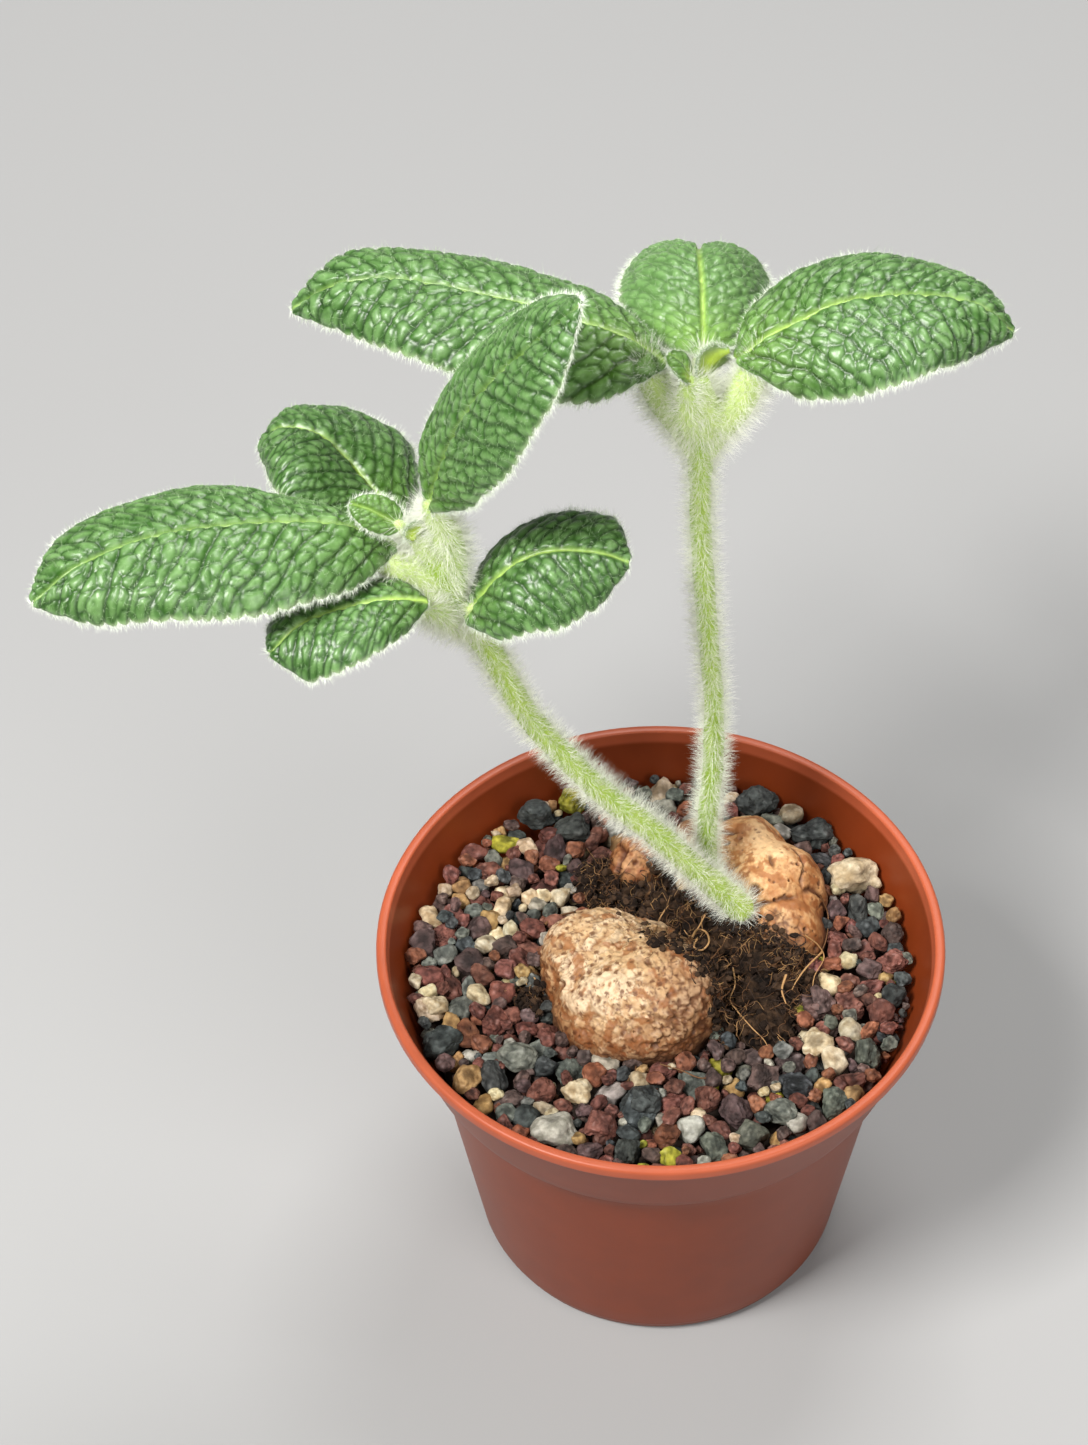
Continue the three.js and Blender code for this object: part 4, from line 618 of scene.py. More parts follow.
def fuse(parts, voxel, rounds):
    """closed tubes melted in one smooth skin: verts (mm), quads, normals"""
    V, off, loops, sizes = [], 0, [], []
    for tb in parts:
        V.append(tb['V'])
        loops.append((tb['Q'] + off).ravel())
        sizes += [4] * len(tb['Q'])
        k = np.arange(tb['around'])
        loops.append(k[::-1] + off)
        loops.append(k + off + tb['n'] * tb['around'])
        sizes += [tb['around']] * 2
        off += len(tb['V'])
    V = np.vstack(V)
    loops, sizes = np.concatenate(loops).astype(np.int32), np.array(sizes, np.int32)
    me = bpy.data.meshes.new("melt")
    me.vertices.add(len(V))
    me.vertices.foreach_set("co", (V * MM).astype(np.float32).ravel())
    me.loops.add(len(loops))
    me.loops.foreach_set("vertex_index", loops)
    me.polygons.add(len(sizes))
    me.polygons.foreach_set("loop_start", np.concatenate([[0], np.cumsum(sizes)[:-1]]).astype(np.int32))
    me.update(calc_edges=True)
    o = bpy.data.objects.new("melt", me)
    bpy.context.scene.collection.objects.link(o)
    md = o.modifiers.new("skin", "REMESH")
    md.mode = "VOXEL"
    md.voxel_size = voxel * MM
    sm = o.modifiers.new("even", "SMOOTH")
    sm.factor = 0.5
    sm.iterations = rounds
    bpy.context.view_layer.update()
    m2 = bpy.data.meshes.new_from_object(o.evaluated_get(bpy.context.evaluated_depsgraph_get()))
    co = np.empty(len(m2.vertices) * 3, np.float32)
    m2.vertices.foreach_get("co", co)
    no = np.empty(len(m2.vertices) * 3, np.float32)
    m2.vertex_normals.foreach_get("vector", no)
    li = np.empty(len(m2.loops), np.int32)
    m2.loops.foreach_get("vertex_index", li)
    bpy.data.objects.remove(o)
    bpy.data.meshes.remove(me)
    bpy.data.meshes.remove(m2)
    return co.reshape(-1, 3).astype(float) / MM, li.reshape(-1, 4), no.reshape(-1, 3).astype(float)


def limbs(name, specs, node, per_mm2, lime, white):
    """specs: (points, radii) of a stem and its leaf stalks, drawn as one hairy body"""
    parts = [tube(p, r, around=20, step=0.8) for p, r in specs]
    V, Q, NR = fuse(parts, 0.50, 10)
    C = np.vstack([tb['C'] for tb in parts])
    T = np.vstack([tb['T'] for tb in parts])
    tt = np.concatenate([tb['t'] for tb in parts])
    si = np.concatenate([np.full(len(tb['t']), i) for i, tb in enumerate(parts)])
    rr = np.concatenate([tb['r'] for tb in parts])

    def nearest(p):
        out = np.empty(len(p), int)
        for a in range(0, len(p), 4000):
            d = np.linalg.norm(p[a:a + 4000, None] - C[None], axis=2) - rr[None]
            out[a:a + 4000] = d.argmin(1)
        return out

    nn = nearest(V)
    ax = T[nn]
    # fine lengthwise ridges
    ang = np.arctan2((np.cross(ax, NR) @ np.array([0.3, 0.9, 0.2])), NR @ np.array([0.3, 0.9, 0.2]))
    lines = np.cos(ang * 9 + 2.0 * fbm(V * 0.12, 75, 2))
    V = V + NR * (0.05 * lines + 0.10 * fbm(V * 0.35, 76, 3))[:, None]
    nz = fbm(V * np.array([0.5, 0.5, 0.16]), 71, 3)
    a = np.array([0.47, 0.62, 0.12])
    b = np.array([0.30, 0.50, 0.012])
    c = mix(a, b, np.clip(lime(tt[nn], si[nn]) + 0.35 * nz + 0.16 * lines, 0, 1))
    c = mix(c, np.array([0.66, 0.76, 0.44]), 0.45 * white(tt[nn], si[nn]))
    o = make(name, V, Q, col=c, mat=stem_mat, nodes=(node,))
    ar = np.linalg.norm(np.cross(V[Q[:, 2]] - V[Q[:, 0]], V[Q[:, 3]] - V[Q[:, 1]]), axis=1) * 0.5
    count = int(ar.sum() * per_mm2)
    fi = RNG.choice(len(Q), size=count, p=ar / ar.sum())
    wts = RNG.dirichlet((1, 1, 1, 1), count)[..., None]
    pos = (V[Q[fi]] * wts).sum(1)
    nr = unit((NR[Q[fi]] * wts).sum(1))
    k = nn[Q[fi, 0]]
    ax, t_, s_ = T[k], tt[k], si[k]
    d = nr + ax * RNG.uniform(-0.15, 0.95, count)[:, None] + RNG.normal(size=(count, 3)) * 0.25
    ln = RNG.uniform(1.6, 3.5, count) * np.where(RNG.random(count) < 0.25, 0.55, 1.0) * (1 + white(t_, s_) * 0.20)
    hv, hf = hairs(pos - nr * 0.1, d, ln, RNG.uniform(0.045, 0.078, count))
    print(name, len(V), "hairs", count)
    make(name + "_hairs", hv, hf, mat=stem_hair_mat, nodes=(node,))
    return o


stem_mat = painted("stem_green", rough=0.45, grain=0.08, grain_scale=1200, sheen=0.25, spec=0.4)
LEFT = [
    ([[15.8, 8.4, 69.9], [14.1, 8.6, 72.2], [11.3, 8.6, 76.2], [5.1, 8.3, 85], [-1.7, 8, 94.8], [-9.6, 7.6, 104.8], [-17.4, 7.2, 117], [-23, 6.9, 127.5],
      [-28.5, 6.6, 142.8], [-32.9, 6.3, 153], [-35.9, 6, 162.2], [-37.3, 6, 168]],
     [2.6, 2.7, 2.5, 2.3, 2.25, 2.2, 2.15, 2.15, 2.25, 2.5, 2.6, 2.3]),
    ([[-33.9, 6.2, 153], [-34.3, 6.5, 164.2], [-34.9, 6.2, 171.0], [-36.5, 5.2, 176.8], [-37.4, 4.5, 181.6]], [2.2, 2.7, 2.8, 2.1, 1.3]),
    ([[-36.2, 6.6, 166.0], [-37.4, 7.6, 172.0], [-38.2, 8.6, 177.0]], [2.4, 2.0, 1.0]),
    ([[-34.3, 6.2, 154.4], [-38.4, 5.6, 161.0], [-42.0, 4.7, 165.0], [-46.5, 3.9, 168.8]], [2.4, 3.3, 3.0, 1.7]),
    ([[-31.9, 6.2, 148.2], [-35.2, 4.2, 153.8], [-37.8, 0.9, 159.6], [-40.2, -1.6, 162.8]], [1.9, 2.4, 2.2, 1.2]),
    ([[-31.2, 6, 147.4], [-30.8, 4.8, 152.4], [-31.0, 3.2, 156.4], [-30.6, 2.6, 159.4]], [1.9, 2.0, 1.6, 1.0]),
    ([[-37, 6.4, 161.5], [-39.6, 11, 162.4], [-42.4, 17.6, 160.4], [-45.5, 21.5, 160.2]], [1.9, 2.3, 2.0, 1.2]),
    ([[-37.2, 6, 166.5], [-39.4, 5.9, 170.6], [-41.5, 5.3, 173.8], [-43.2, 5.3, 176.0]], [2.3, 1.8, 1.2, 0.9]),
]
RIGHT = [
    ([[9.8, 17, 66.4], [9.5, 17, 69.5], [8.5, 17.2, 75.5], [8.6, 17.4, 89.1], [9.2, 17.5, 100.1], [9.2, 17.5, 112.9], [8.9, 17.4, 121.3], [8.2, 17.2, 129.7],
      [7.1, 17, 145.9], [6.2, 16.8, 161.4], [6, 16.6, 172.2], [5.9, 16.6, 180.1], [5.9, 16.8, 186.0]],
     [2.4, 2.1, 1.9, 1.85, 1.85, 1.8, 1.8, 1.8, 1.85, 1.85, 1.9, 2.3, 2.9]),
    ([[5.6, 16.6, 178], [3.0, 17.2, 184.6], [-0.3, 18.2, 190.6], [-2.9, 19.5, 196.0], [-4.2, 20.3, 199.0]], [1.7, 2.5, 2.9, 2.5, 1.5]),
    ([[6.2, 16.6, 178], [9.0, 16.9, 184.8], [12.2, 17.6, 190.6], [14.4, 18.5, 196.6], [15.2, 18.9, 200.4]], [1.7, 2.5, 2.9, 2.5, 1.5]),
    ([[5.9, 16.6, 182], [6, 19, 187.0], [6.2, 24.6, 190.6], [6.3, 28.0, 191.8]], [2.2, 2.5, 2.0, 1.3]),
    ([[5.6, 16.6, 182], [4.2, 16.0, 187], [3.6, 15.6, 192], [3.8, 15.3, 198.2]], [2.2, 2.5, 2.0, 1.2]),
    ([[6.2, 16.6, 182], [7.0, 16.3, 187], [6.2, 16.8, 192], [5.7, 17.0, 196.8]], [2.2, 2.5, 2.0, 1.2]),
]
limbs("stem_left_body", LEFT, "stem_left", 15.0,
      lambda t, si: np.where(si == 0, 0.30 + 0.40 * smooth(0.7, 0.86, t) * smooth(1.0, 0.93, t), 0.15 + 0.35 * (si == 1)),
      lambda t, si: np.where(si == 0, smooth(0.1, 0.0, t), 1.0))
limbs("stem_right_body", RIGHT, "stem_right", 16.0,
      lambda t, si: np.where(si == 0, 1.0 - 0.55 * smooth(0.0, 0.7, t), 0.10 + 0.6 * smooth(0.55, 0.95, t)),
      lambda t, si: np.where(si == 0, 0.05 + 0 * t, 0.8))


# ------------------------------------------------------------------ icosphere data
def ico(sub):
    p = (1 + 5 ** 0.5) / 2
    v = [(-1, p, 0), (1, p, 0), (-1, -p, 0), (1, -p, 0), (0, -1, p), (0, 1, p), (0, -1, -p), (0, 1, -p), (p, 0, -1), (p, 0, 1), (-p, 0, -1), (-p, 0, 1)]
    f = [(0, 11, 5), (0, 5, 1), (0, 1, 7), (0, 7, 10), (0, 10, 11), (1, 5, 9), (5, 11, 4), (11, 10, 2), (10, 7, 6), (7, 1, 8),
         (3, 9, 4), (3, 4, 2), (3, 2, 6), (3, 6, 8), (3, 8, 9), (4, 9, 5), (2, 4, 11), (6, 2, 10), (8, 6, 7), (9, 8, 1)]
    v = unit(np.array(v, float))
    f = np.array(f)
    for _ in range(sub):
        e = np.sort(np.concatenate([f[:, [0, 1]], f[:, [1, 2]], f[:, [2, 0]]]), axis=1)
        ue, inv = np.unique(e, axis=0, return_inverse=True)
        inv = inv.ravel()
        mid = unit(v[ue[:, 0]] + v[ue[:, 1]]) 
        n = len(f)
        ab, bc, ca = inv[:n] + len(v), inv[n:2 * n] + len(v), inv[2 * n:] + len(v)
        v = np.vstack([v, mid])
        f = np.vstack([np.stack([f[:, 0], ab, ca], 1), np.stack([f[:, 1], bc, ab], 1), np.stack([f[:, 2], ca, bc], 1), np.stack([ab, bc, ca], 1)])
    return v, f


ICO = {k: ico(k) for k in (0, 1, 2, 3)}


def ball_uv(v, f):
    """flat map of a ball as two round patches: loops' places, and 1 for the lower patch"""
    c = v[f].mean(1)
    low = c[:, 2] < 0
    p = v[f]
    z = np.where(low[:, None], -p[..., 2], p[..., 2])
    uv = p[..., :2] / (1 + np.maximum(z, -0.5))[..., None]
    return uv.reshape(-1, 2), np.repeat(low, 3)


# ------------------------------------------------------------------ tuber
FRONT = ([[-11, -0.4, 67, 10.3], [-1, -8.6, 67.5, 12.1], [-8.6, -9.3, 66.5, 10.5], [-3.6, -1.8, 67, 8.5]], [-5.2, -5.6, 66.5])
BACK = ([[7.7, 27.1, 65, 6.2], [15.2, 23.9, 66, 8.1], [20.7, 15.8, 66, 9.5], [22, 6.8, 65, 7.5]], [18.4, 17.2, 64.5])
SMALL = ([[-4, 22.7, 66.5, 4.9]], [-4, 22.7, 66.5])
CROWN = ([[11.4, 16.8, 65.6, 4.3]], [11.4, 16.8, 65.6])


def envelope(d, balls, o, power=9):
    tot = np.zeros(len(d))
    for x, y, z, r in balls:
        q = np.array([x, y, z]) - o
        b = d @ q
        disc = b * b - q @ q + r * r
        t = b + np.sqrt(np.maximum(disc, 0))
        tot += np.where((disc > 0) & (t > 0), np.maximum(t, 1e-6) ** power, 0)
    return tot ** (1 / power)


bark = painted("tuber_bark", rough=0.55, grain=0.07, grain_scale=1500, bump=0.4, bump_scale=1500, bump_dist=0.0002, spec=0.4)


def shingles(p, seed):
    """height of small overlapping flakes, each tilted its own way, and the seams between them"""
    i = np.floor(p).astype(np.int64)
    f1 = np.full(len(p), 9.0)
    f2 = np.full(len(p), 9.0)
    tilt = np.zeros(len(p))
    for a in (-1, 0, 1):
        for b in (-1, 0, 1):
            for c in (-1, 0, 1):
                I, J, K = i[:, 0] + a, i[:, 1] + b, i[:, 2] + c
                q = np.stack([I + 0.5 + 0.95 * (_h(I, J, K, seed) - 0.5), J + 0.5 + 0.95 * (_h(I, J, K, seed + 5) - 0.5), K + 0.5 + 0.95 * (_h(I, J, K, seed + 9) - 0.5)], 1)
                v_ = p - q
                d_ = np.linalg.norm(v_, axis=1)
                w_ = np.stack([_h(I, J, K, seed + 21) - 0.5, _h(I, J, K, seed + 22) - 0.5, _h(I, J, K, seed + 23) - 0.5], 1) * 2
                new = d_ < f1
                f2 = np.where(new, f1, np.minimum(f2, d_))
                tilt = np.where(new, (v_ * w_).sum(1) + 0.5 * (_h(I, J, K, seed + 31) - 0.5), tilt)
                f1 = np.where(new, d_, f1)
    return tilt, smooth(0.14, 0.0, f2 - f1)


def lobe(name, spec, sub, seed=0, low=62.5, smoothness=0.0, rings=(), rough_at=None, scars=(), tint=1.0):
    balls, o = spec
    o = np.array(o, float)
    d, f = ico(sub)
    t = envelope(d, balls, o)
    p = o + d * t[:, None]
    warp = np.stack([fbm(p * 0.30, 110 + seed, 3), fbm(p * 0.30, 120 + seed, 3), fbm(p * 0.30, 130 + seed, 3)], 1)
    big = fbm(p * 0.16, 100 + seed, 3)
    mid = fbm(p * 0.55 + warp, 104 + seed, 3)
    # wrinkled papery bark: thin ridged lines at two scales
    w1 = 1 - np.abs(fbm(p * 0.75 + warp * 1.2, 160 + seed, 3)) * 4.0
    w2 = 1 - np.abs(fbm(p * 1.7 + warp * 2.0, 165 + seed, 3)) * 3.6
    w1, w2 = np.clip(w1, 0, 1), np.clip(w2, 0, 1)
    # cracked plates, only over part of the lobe
    rough = np.full(len(p), 0.30 * (1 - smoothness))
    if rough_at is not None:
        for c_, r_ in rough_at:
            rough = np.maximum(rough, smooth(r_, r_ * 0.45, np.linalg.norm(p - np.array(c_), axis=1) + 1.5 * warp[:, 0]))
    f1, f2, cid = worley3(p * 0.44 + warp * 0.8, 140 + seed)
    crack = smooth(0.16, 0.0, f2 - f1) * rough
    k1, k2, kid = worley3(p * 0.30 + warp * 0.3, 170 + seed)
    pit = np.where(kid > 0.62, smooth(0.20, 0.10, k1), 0)
    g1, g2, gid = worley3(p * 0.75 + warp * 0.2 + 7, 175 + seed)
    pit2 = np.where(gid > 0.52, smooth(0.24, 0.10, g1), 0)
    relief = 1 - 0.90 * smoothness
    s1, e1 = shingles(p * 0.52 + warp * 0.9, 700 + seed)
    s2, e2 = shingles(p * 1.15 + warp * 1.3, 720 + seed)
    flk = 0.46 * s1 + 0.12 * s2
    h = 0.85 * big + (0.42 * mid + 0.14 * w1 + 0.05 * w2 + 0.34 * flk - 0.06 * e1) * relief + 0.45 * (cid - 0.5) * rough * (1 - crack) - 0.38 * crack - 0.42 * pit - 0.30 * pit2
    crease = np.zeros(len(p))
    for c_, at, wd, dp in rings:
        c_ = np.array(c_, float)
        rr = np.linalg.norm((p - c_) * np.array([1, 1, 0.7]), axis=1) + 1.3 * warp[:, 1]
        on = smooth(-0.15, 0.15, fbm(p * 0.17 + at, 190, 2) + 0.12)
        crease = np.maximum(crease, np.exp(-((rr - at) / wd) ** 2) * dp * on)
        h = h + 0.35 * np.exp(-((rr - at - 1.1) / 0.8) ** 2) * on * dp
    h = h - crease * 0.75
    scar = np.zeros(len(p))
    halo = np.zeros(len(p))
    for px, py, r_ in scars:
        q_ = on_balls(px, py, balls)
        dd_ = np.linalg.norm(p - q_, axis=1) + 0.5 * warp[:, 2]
        scar = np.maximum(scar, smooth(r_, r_ * 0.45, dd_))
        halo = np.maximum(halo, np.exp(-((dd_ - r_ * 1.25) / (r_ * 0.35)) ** 2))
    h = h - 0.55 * scar + 0.25 * halo
    p = p + d * h[:, None]
    # colour: tan to cream, brown wrinkles, orange patches, dark dots; painted highlight on the upper part and on raised
    # flake edges, painted shade on the lower part, the right side and the low flake edges, and darker still towards the
    # bottom
    tan, cream = np.array([0.330, 0.150, 0.056]), np.array([0.700, 0.470, 0.250])
    if smoothness > 0.5:
        tan, cream = np.array([0.430, 0.180, 0.055]), np.array([0.680, 0.410, 0.185])
    fineness = fbm(p * 2.3, 167 + seed, 3)
    # painted highlight: the upper part lighter, as if lit from above
    painted_top_highlight = smooth(66.0, 76.0, p[:, 2])
    # painted light and shade on the flakes: each flake lighter at its raised edge, darker at its low edge
    c = mix(tan, cream, np.clip(0.42 + 0.55 * painted_top_highlight * relief + 0.9 * mid + 0.4 * fineness + 1.2 * flk * (0.4 + 0.6 * relief), 0, 1))
    c = mix(c, [0.84, 0.65, 0.43] if smoothness < 0.5 else [0.78, 0.53, 0.28], np.clip(0.80 * smooth(0.02, 0.42, 0.9 * big + 0.4 * mid + 0.4 * fineness + 0.9 * flk * relief + 0.22 * painted_top_highlight * relief), 0, 1))
    c = mix(c, [0.120, 0.044, 0.016], np.clip((0.85 * smooth(0.76, 0.97, w1) * smooth(-0.25, 0.15, warp[:, 2]) + 0.60 * e1 * smooth(-0.1, 0.3, warp[:, 1])) * relief, 0, 0.9))
    c = mix(c, [0.340, 0.125, 0.034], 0.80 * smooth(0.10, 0.22, fbm(p * 0.55 + 9, 180 + seed, 3)))
    sp1, sp2, spid = worley3(p * 0.62 + warp * 0.25, 190 + seed)
    spot = np.where(spid > 0.35, smooth(0.34, 0.24, sp1 + 0.12 * fineness), 0)
    c = mix(c, [0.130, 0.044, 0.013], 0.88 * spot * relief)
    c = mix(c, [0.130, 0.055, 0.022], np.clip(pit * 0.8 + pit2 * 0.9 + crack * 1.3 + crease * 1.4 + scar * 0.95, 0, 1))
    c = mix(c, [0.260, 0.125, 0.055], np.clip(rough * 0.62 * (0.7 + 0.9 * fineness), 0, 0.8))
    # painted shade: darker on the lower part, and on the right side away from the key light
    shade = smooth(75.5, 68.0, p[:, 2] + 2.5 * warp[:, 1]) * 0.85
    if seed == 1:
        shade = np.maximum(shade, 0.70 * smooth(-5.0, 6.0, p[:, 0] + 3.0 * warp[:, 0]))
    if seed == 2:
        shade = np.maximum(shade, 0.65 * smooth(20.0, 27.0, p[:, 0] + 3.0 * warp[:, 0]))
    c = mix(c, c * [0.60, 0.43, 0.31], shade)
    # darker towards the bottom
    c = mix(c, [0.080, 0.036, 0.018], smooth(70.0, 65.0, p[:, 2] + 2.0 * warp[:, 2]) * 0.88)
    c = c * tint
    keep = (p[f][:, :, 2].max(1) > low)
    f = f[keep]
    used, inv = np.unique(f.ravel(), return_inverse=True)
    uvl, lowm = ball_uv(d, f)
    s = 0.235
    centre = np.where(lowm[:, None], [[0.75, 0.5]], [[0.25, 0.5]])
    uv = centre + uvl * s / 1.06
    return p[used], inv.reshape(-1, 3), c[used], uv


def join(parts):
    """puts several coloured parts in one mesh, their maps side by side"""
    V, F, C, U, off = [], [], [], [], 0
    n = len(parts)
    for i, (v, f, c, uv) in enumerate(parts):
        V.append(v)
        F.append(f + off)
        C.append(c)
        U.append(np.stack([uv[:, 0], (uv[:, 1] + i) / n], 1) if n > 1 else uv)
        off += len(v)
    return np.vstack(V), np.vstack(F), np.vstack(C), np.vstack(U)


v, f, c, uv = lobe("front", FRONT, 6, seed=1, rough_at=[((6, -15, 68), 14.0), ((9, -4, 72), 7.5)],
                   scars=[(600, 1000, 0.9), (601, 975, 0.8), (565, 985, 0.9), (630, 985, 0.7), (575, 955, 0.5), (628, 938, 0.6), (598, 1062, 1.0), (655, 1045, 0.8)])
make("tuber_front", v, f, col=c, uv=uv, mat=bark, nodes=("tuber",))
C0 = (9.5, 13.5, 66)
v, f, c, uv = join([lobe("back", BACK, 6, seed=2, smoothness=0.75, rings=[(C0, 13.2, 0.34, 0.8), (C0, 17.2, 0.24, 0.6), ((15, 30, 66), 13.5, 0.26, 0.7), ((18, 28, 66), 19.0, 0.30, 0.8)],
                         rough_at=[((21, 2.5, 70), 7.5)],
                         scars=[(755, 890, 1.5), (726, 843, 0.7), (740, 838, 0.4), (793, 905, 0.6), (797, 865, 0.5), (790, 880, 0.35), (775, 900, 0.4), (733, 860, 0.4), (805, 930, 0.5)]),
                    lobe("small", SMALL, 4, seed=3, low=61, rings=[((-9, 22, 66), 4.4, 0.3, 0.9)], rough_at=[((-8, 20, 66), 4.0)], scars=[(635, 863, 0.5), (628, 852, 0.4)], tint=np.array([0.95, 0.74, 0.58])), lobe("crown", CROWN, 4, seed=4, low=61)])
make("tuber_back", v, f, col=c, uv=uv, mat=bark, nodes=("tuber",))


# ------------------------------------------------------------------ stones and gravel
def stone_shape(sub, n, rng, squash=0.82, porous=0.0):
    """n irregular stones as directions times radii: (n, verts, 3)"""
    v, f = ICO[sub]
    out = []
    for i in range(n):
        m = rng.integers(9, 16)
        pl = unit(rng.normal(size=(m, 3)))
        dist = rng.uniform(0.70, 1.02, m)
        dot = v @ pl.T
        with np.errstate(divide='ignore', invalid='ignore'):
            r = np.where(dot > 1e-3, dist / np.maximum(dot, 1e-3), 9.0)
        k = 26.0
        r = -np.log(np.exp(-k * np.minimum(r, 2)).sum(1) + np.exp(-k * 1.15)) / k
        off = rng.random(3) * 50
        r = r * (1 + 0.12 * vnoise(v * 1.9 + off, 5) + 0.075 * vnoise(v * 4.3 + off, 6) + 0.035 * vnoise(v * 9.5 + off, 7))
        if porous:
            a1, a2, aid = worley3(v * 3.4 + off, 8)
            r = r - porous * smooth(0.42, 0.18, a1)
        sc = np.array([rng.uniform(0.90, 1.30), rng.uniform(0.78, 1.05), squash * rng.uniform(0.80, 1.1)])
        q = v * r[:, None] * sc
        ang = rng.random() * 2 * np.pi
        tl = rng.normal() * 0.35
        Rz = np.array([[math.cos(ang), -math.sin(ang), 0], [math.sin(ang), math.cos(ang), 0], [0, 0, 1]])
        Rx = np.array([[1, 0, 0], [0, math.cos(tl), -math.sin(tl)], [0, math.sin(tl), math.cos(tl)]])
        out.append(q @ Rz.T @ Rx.T)
    return np.array(out), f


ROCK = {  # linear base colours
    'red': ([0.055, 0.017, 0.012], [0.235, 0.090, 0.066]),
    'rust': ([0.090, 0.027, 0.013], [0.330, 0.125, 0.066]),
    'plum': ([0.032, 0.019, 0.017], [0.150, 0.092, 0.083]),
    'slate': ([0.012, 0.014, 0.014], [0.080, 0.090, 0.086]),
    'grey': ([0.050, 0.055, 0.046], [0.210, 0.215, 0.175]),
    'cream': ([0.300, 0.215, 0.115], [0.660, 0.560, 0.385]),
    'ochre': ([0.190, 0.100, 0.035], [0.480, 0.300, 0.130]),
    'olive': ([0.130, 0.125, 0.010], [0.430, 0.390, 0.040]),
    'pale': ([0.200, 0.190, 0.150], [0.480, 0.455, 0.385]),
}
rock_mat = painted("rock", rough=0.78, grain=0.22, grain_scale=1500, bump=0.8, bump_scale=1400, bump_dist=0.00025, spec=0.3)


def rock_colour(shape, kind, seed):
    """shape (verts,3) unit sized; mottled colour with pale dust, and painted shade in the pores and hollows"""
    lo, hi = (np.array(c) for c in ROCK[kind])
    n = fbm(shape * 1.6 + seed, 200, 3)
    m_ = fbm(shape * 4.5 + seed, 210, 3)
    c = mix(lo, hi, np.clip(0.42 + 0.75 * n + 0.85 * m_, 0, 1))
    c = mix(c, hi * 0.7 + 0.10, 0.5 * smooth(0.25, 0.5, m_))
    # painted shade: darker where the surface sinks nearer the centre, in pores and hollows
    far = np.linalg.norm(shape, axis=1)
    c = mix(c, lo * 0.5, np.clip(0.8 * smooth(0.92, 0.70, far / np.median(far)), 0, 1))
    return c


NAMED = [
    ('stone_slate_a', -22.3, 34.7, 66, 3.4, 'slate'), ('stone_olive', -15.6, 38.0, 66, 2.8, 'olive'),
    ('stone_slate_b', 18.3, 37.6, 66, 2.7, 'slate'), ('stone_slate_c', 27.9, 30.6, 66, 3.1, 'slate'),
    ('stone_cream_a', 35.2, 20.4, 66, 3.8, 'cream'), ('stone_plum', 28.2, -8.0, 66, 2.4, 'plum'),
    ('stone_cream_b', 27.0, -17.4, 66, 2.4, 'cream'), ('stone_slate_d', -3.6, -29.4, 66, 3.1, 'slate'),
    ('stone_cream_c', -14.8, -27.3, 66, 2.8, 'cream'), ('stone_grey', -25.4, -19.9, 66, 2.6, 'grey'),
    ('stone_pale', -18.6, -35.4, 66, 3.0, 'pale'), ('stone_red', -10.6, -34.2, 66, 2.7, 'red'),
    ('stone_ochre', -34.1, -24.2, 66, 2.3, 'ochre'), ('stone_cream_d', -40.0, -8.6, 66, 2.5, 'cream'),
]
rs = np.random.default_rng(7)
for i, (nm, x, y, z, r, kind) in enumerate(NAMED):
    shp, f = stone_shape(3, 1, rs, 0.85, porous=0.10 if kind in ('cream', 'slate', 'red') else 0.03)
    uvl, lowm = ball_uv(ICO[3][0], f)
    uv = np.where(lowm[:, None], [[0.75, 0.5]], [[0.25, 0.5]]) + uvl * 0.22
    make(nm + "_rock", shp[0] * r * 1.05 + np.array([x, y, z + 0.3]), f, col=rock_colour(shp[0], kind, i * 3.1), uv=uv, mat=rock_mat, nodes=(nm,), sharp=kind not in ('cream', 'pale', 'ochre'))

# grains dropped one by one, each to the lowest of a few places
R_WALL = 45.3


def wall(z):
    return 42.6 + (47.65 - 42.6) * (z - 57.0) / (71.4 - 57.0)


rg = np.random.default_rng(11)
fixed = [(x, y, z, r * 0.93) for _, x, y, z, r, _k in NAMED] + [tuple(b) for b in FRONT[0] + BACK[0] + SMALL[0] + CROWN[0]]
BASE_PEAT = 9
PEAT = [(-9.8, 18.6, 64.8, 4.8), (-4.6, 15.6, 65.0, 5.2), (1.5, 11.6, 65.2, 5.6), (7.2, 6.8, 65.6, 6.0), (12.0, 3.6, 65.8, 5.8), (16.5, -1.0, 65.6, 6.0), (18.0, -6.5, 65.0, 6.6), (18.5, -12.2, 64.2, 5.8), (-22.5, -6.5, 63.2, 3.7)]
_balls = FRONT[0] + BACK[0] + SMALL[0] + CROWN[0]
for px, py, r, sink in ((628, 888, 2.6, 1), (645, 902, 2.7, 1), (650, 920, 2.4, 1), (670, 925, 2.8, 1), (690, 936, 2.8, 1), (704, 953, 2.6, 1), (716, 972, 2.5, 1), (726, 996, 2.4, 1),
                         (728, 1020, 2.2, 1), (738, 940, 3.0, 1), (762, 952, 3.0, 1), (784, 964, 2.7, 1), (803, 983, 2.4, 1), (600, 872, 2.4, 1), (595, 885, 2.0, 1), (610, 893, 2.0, 1), (662, 880, 2.6, 1),
                         (655, 866, 2.0, 1)):
    q_ = on_balls(px, py, _balls)
    q_ = q_ + ray(px, py) * r * sink * 0.12
    PEAT.append((float(q_[0]), float(q_[1]), float(q_[2]), r))
fixed += PEAT
P = np.array(fixed)
grains = []
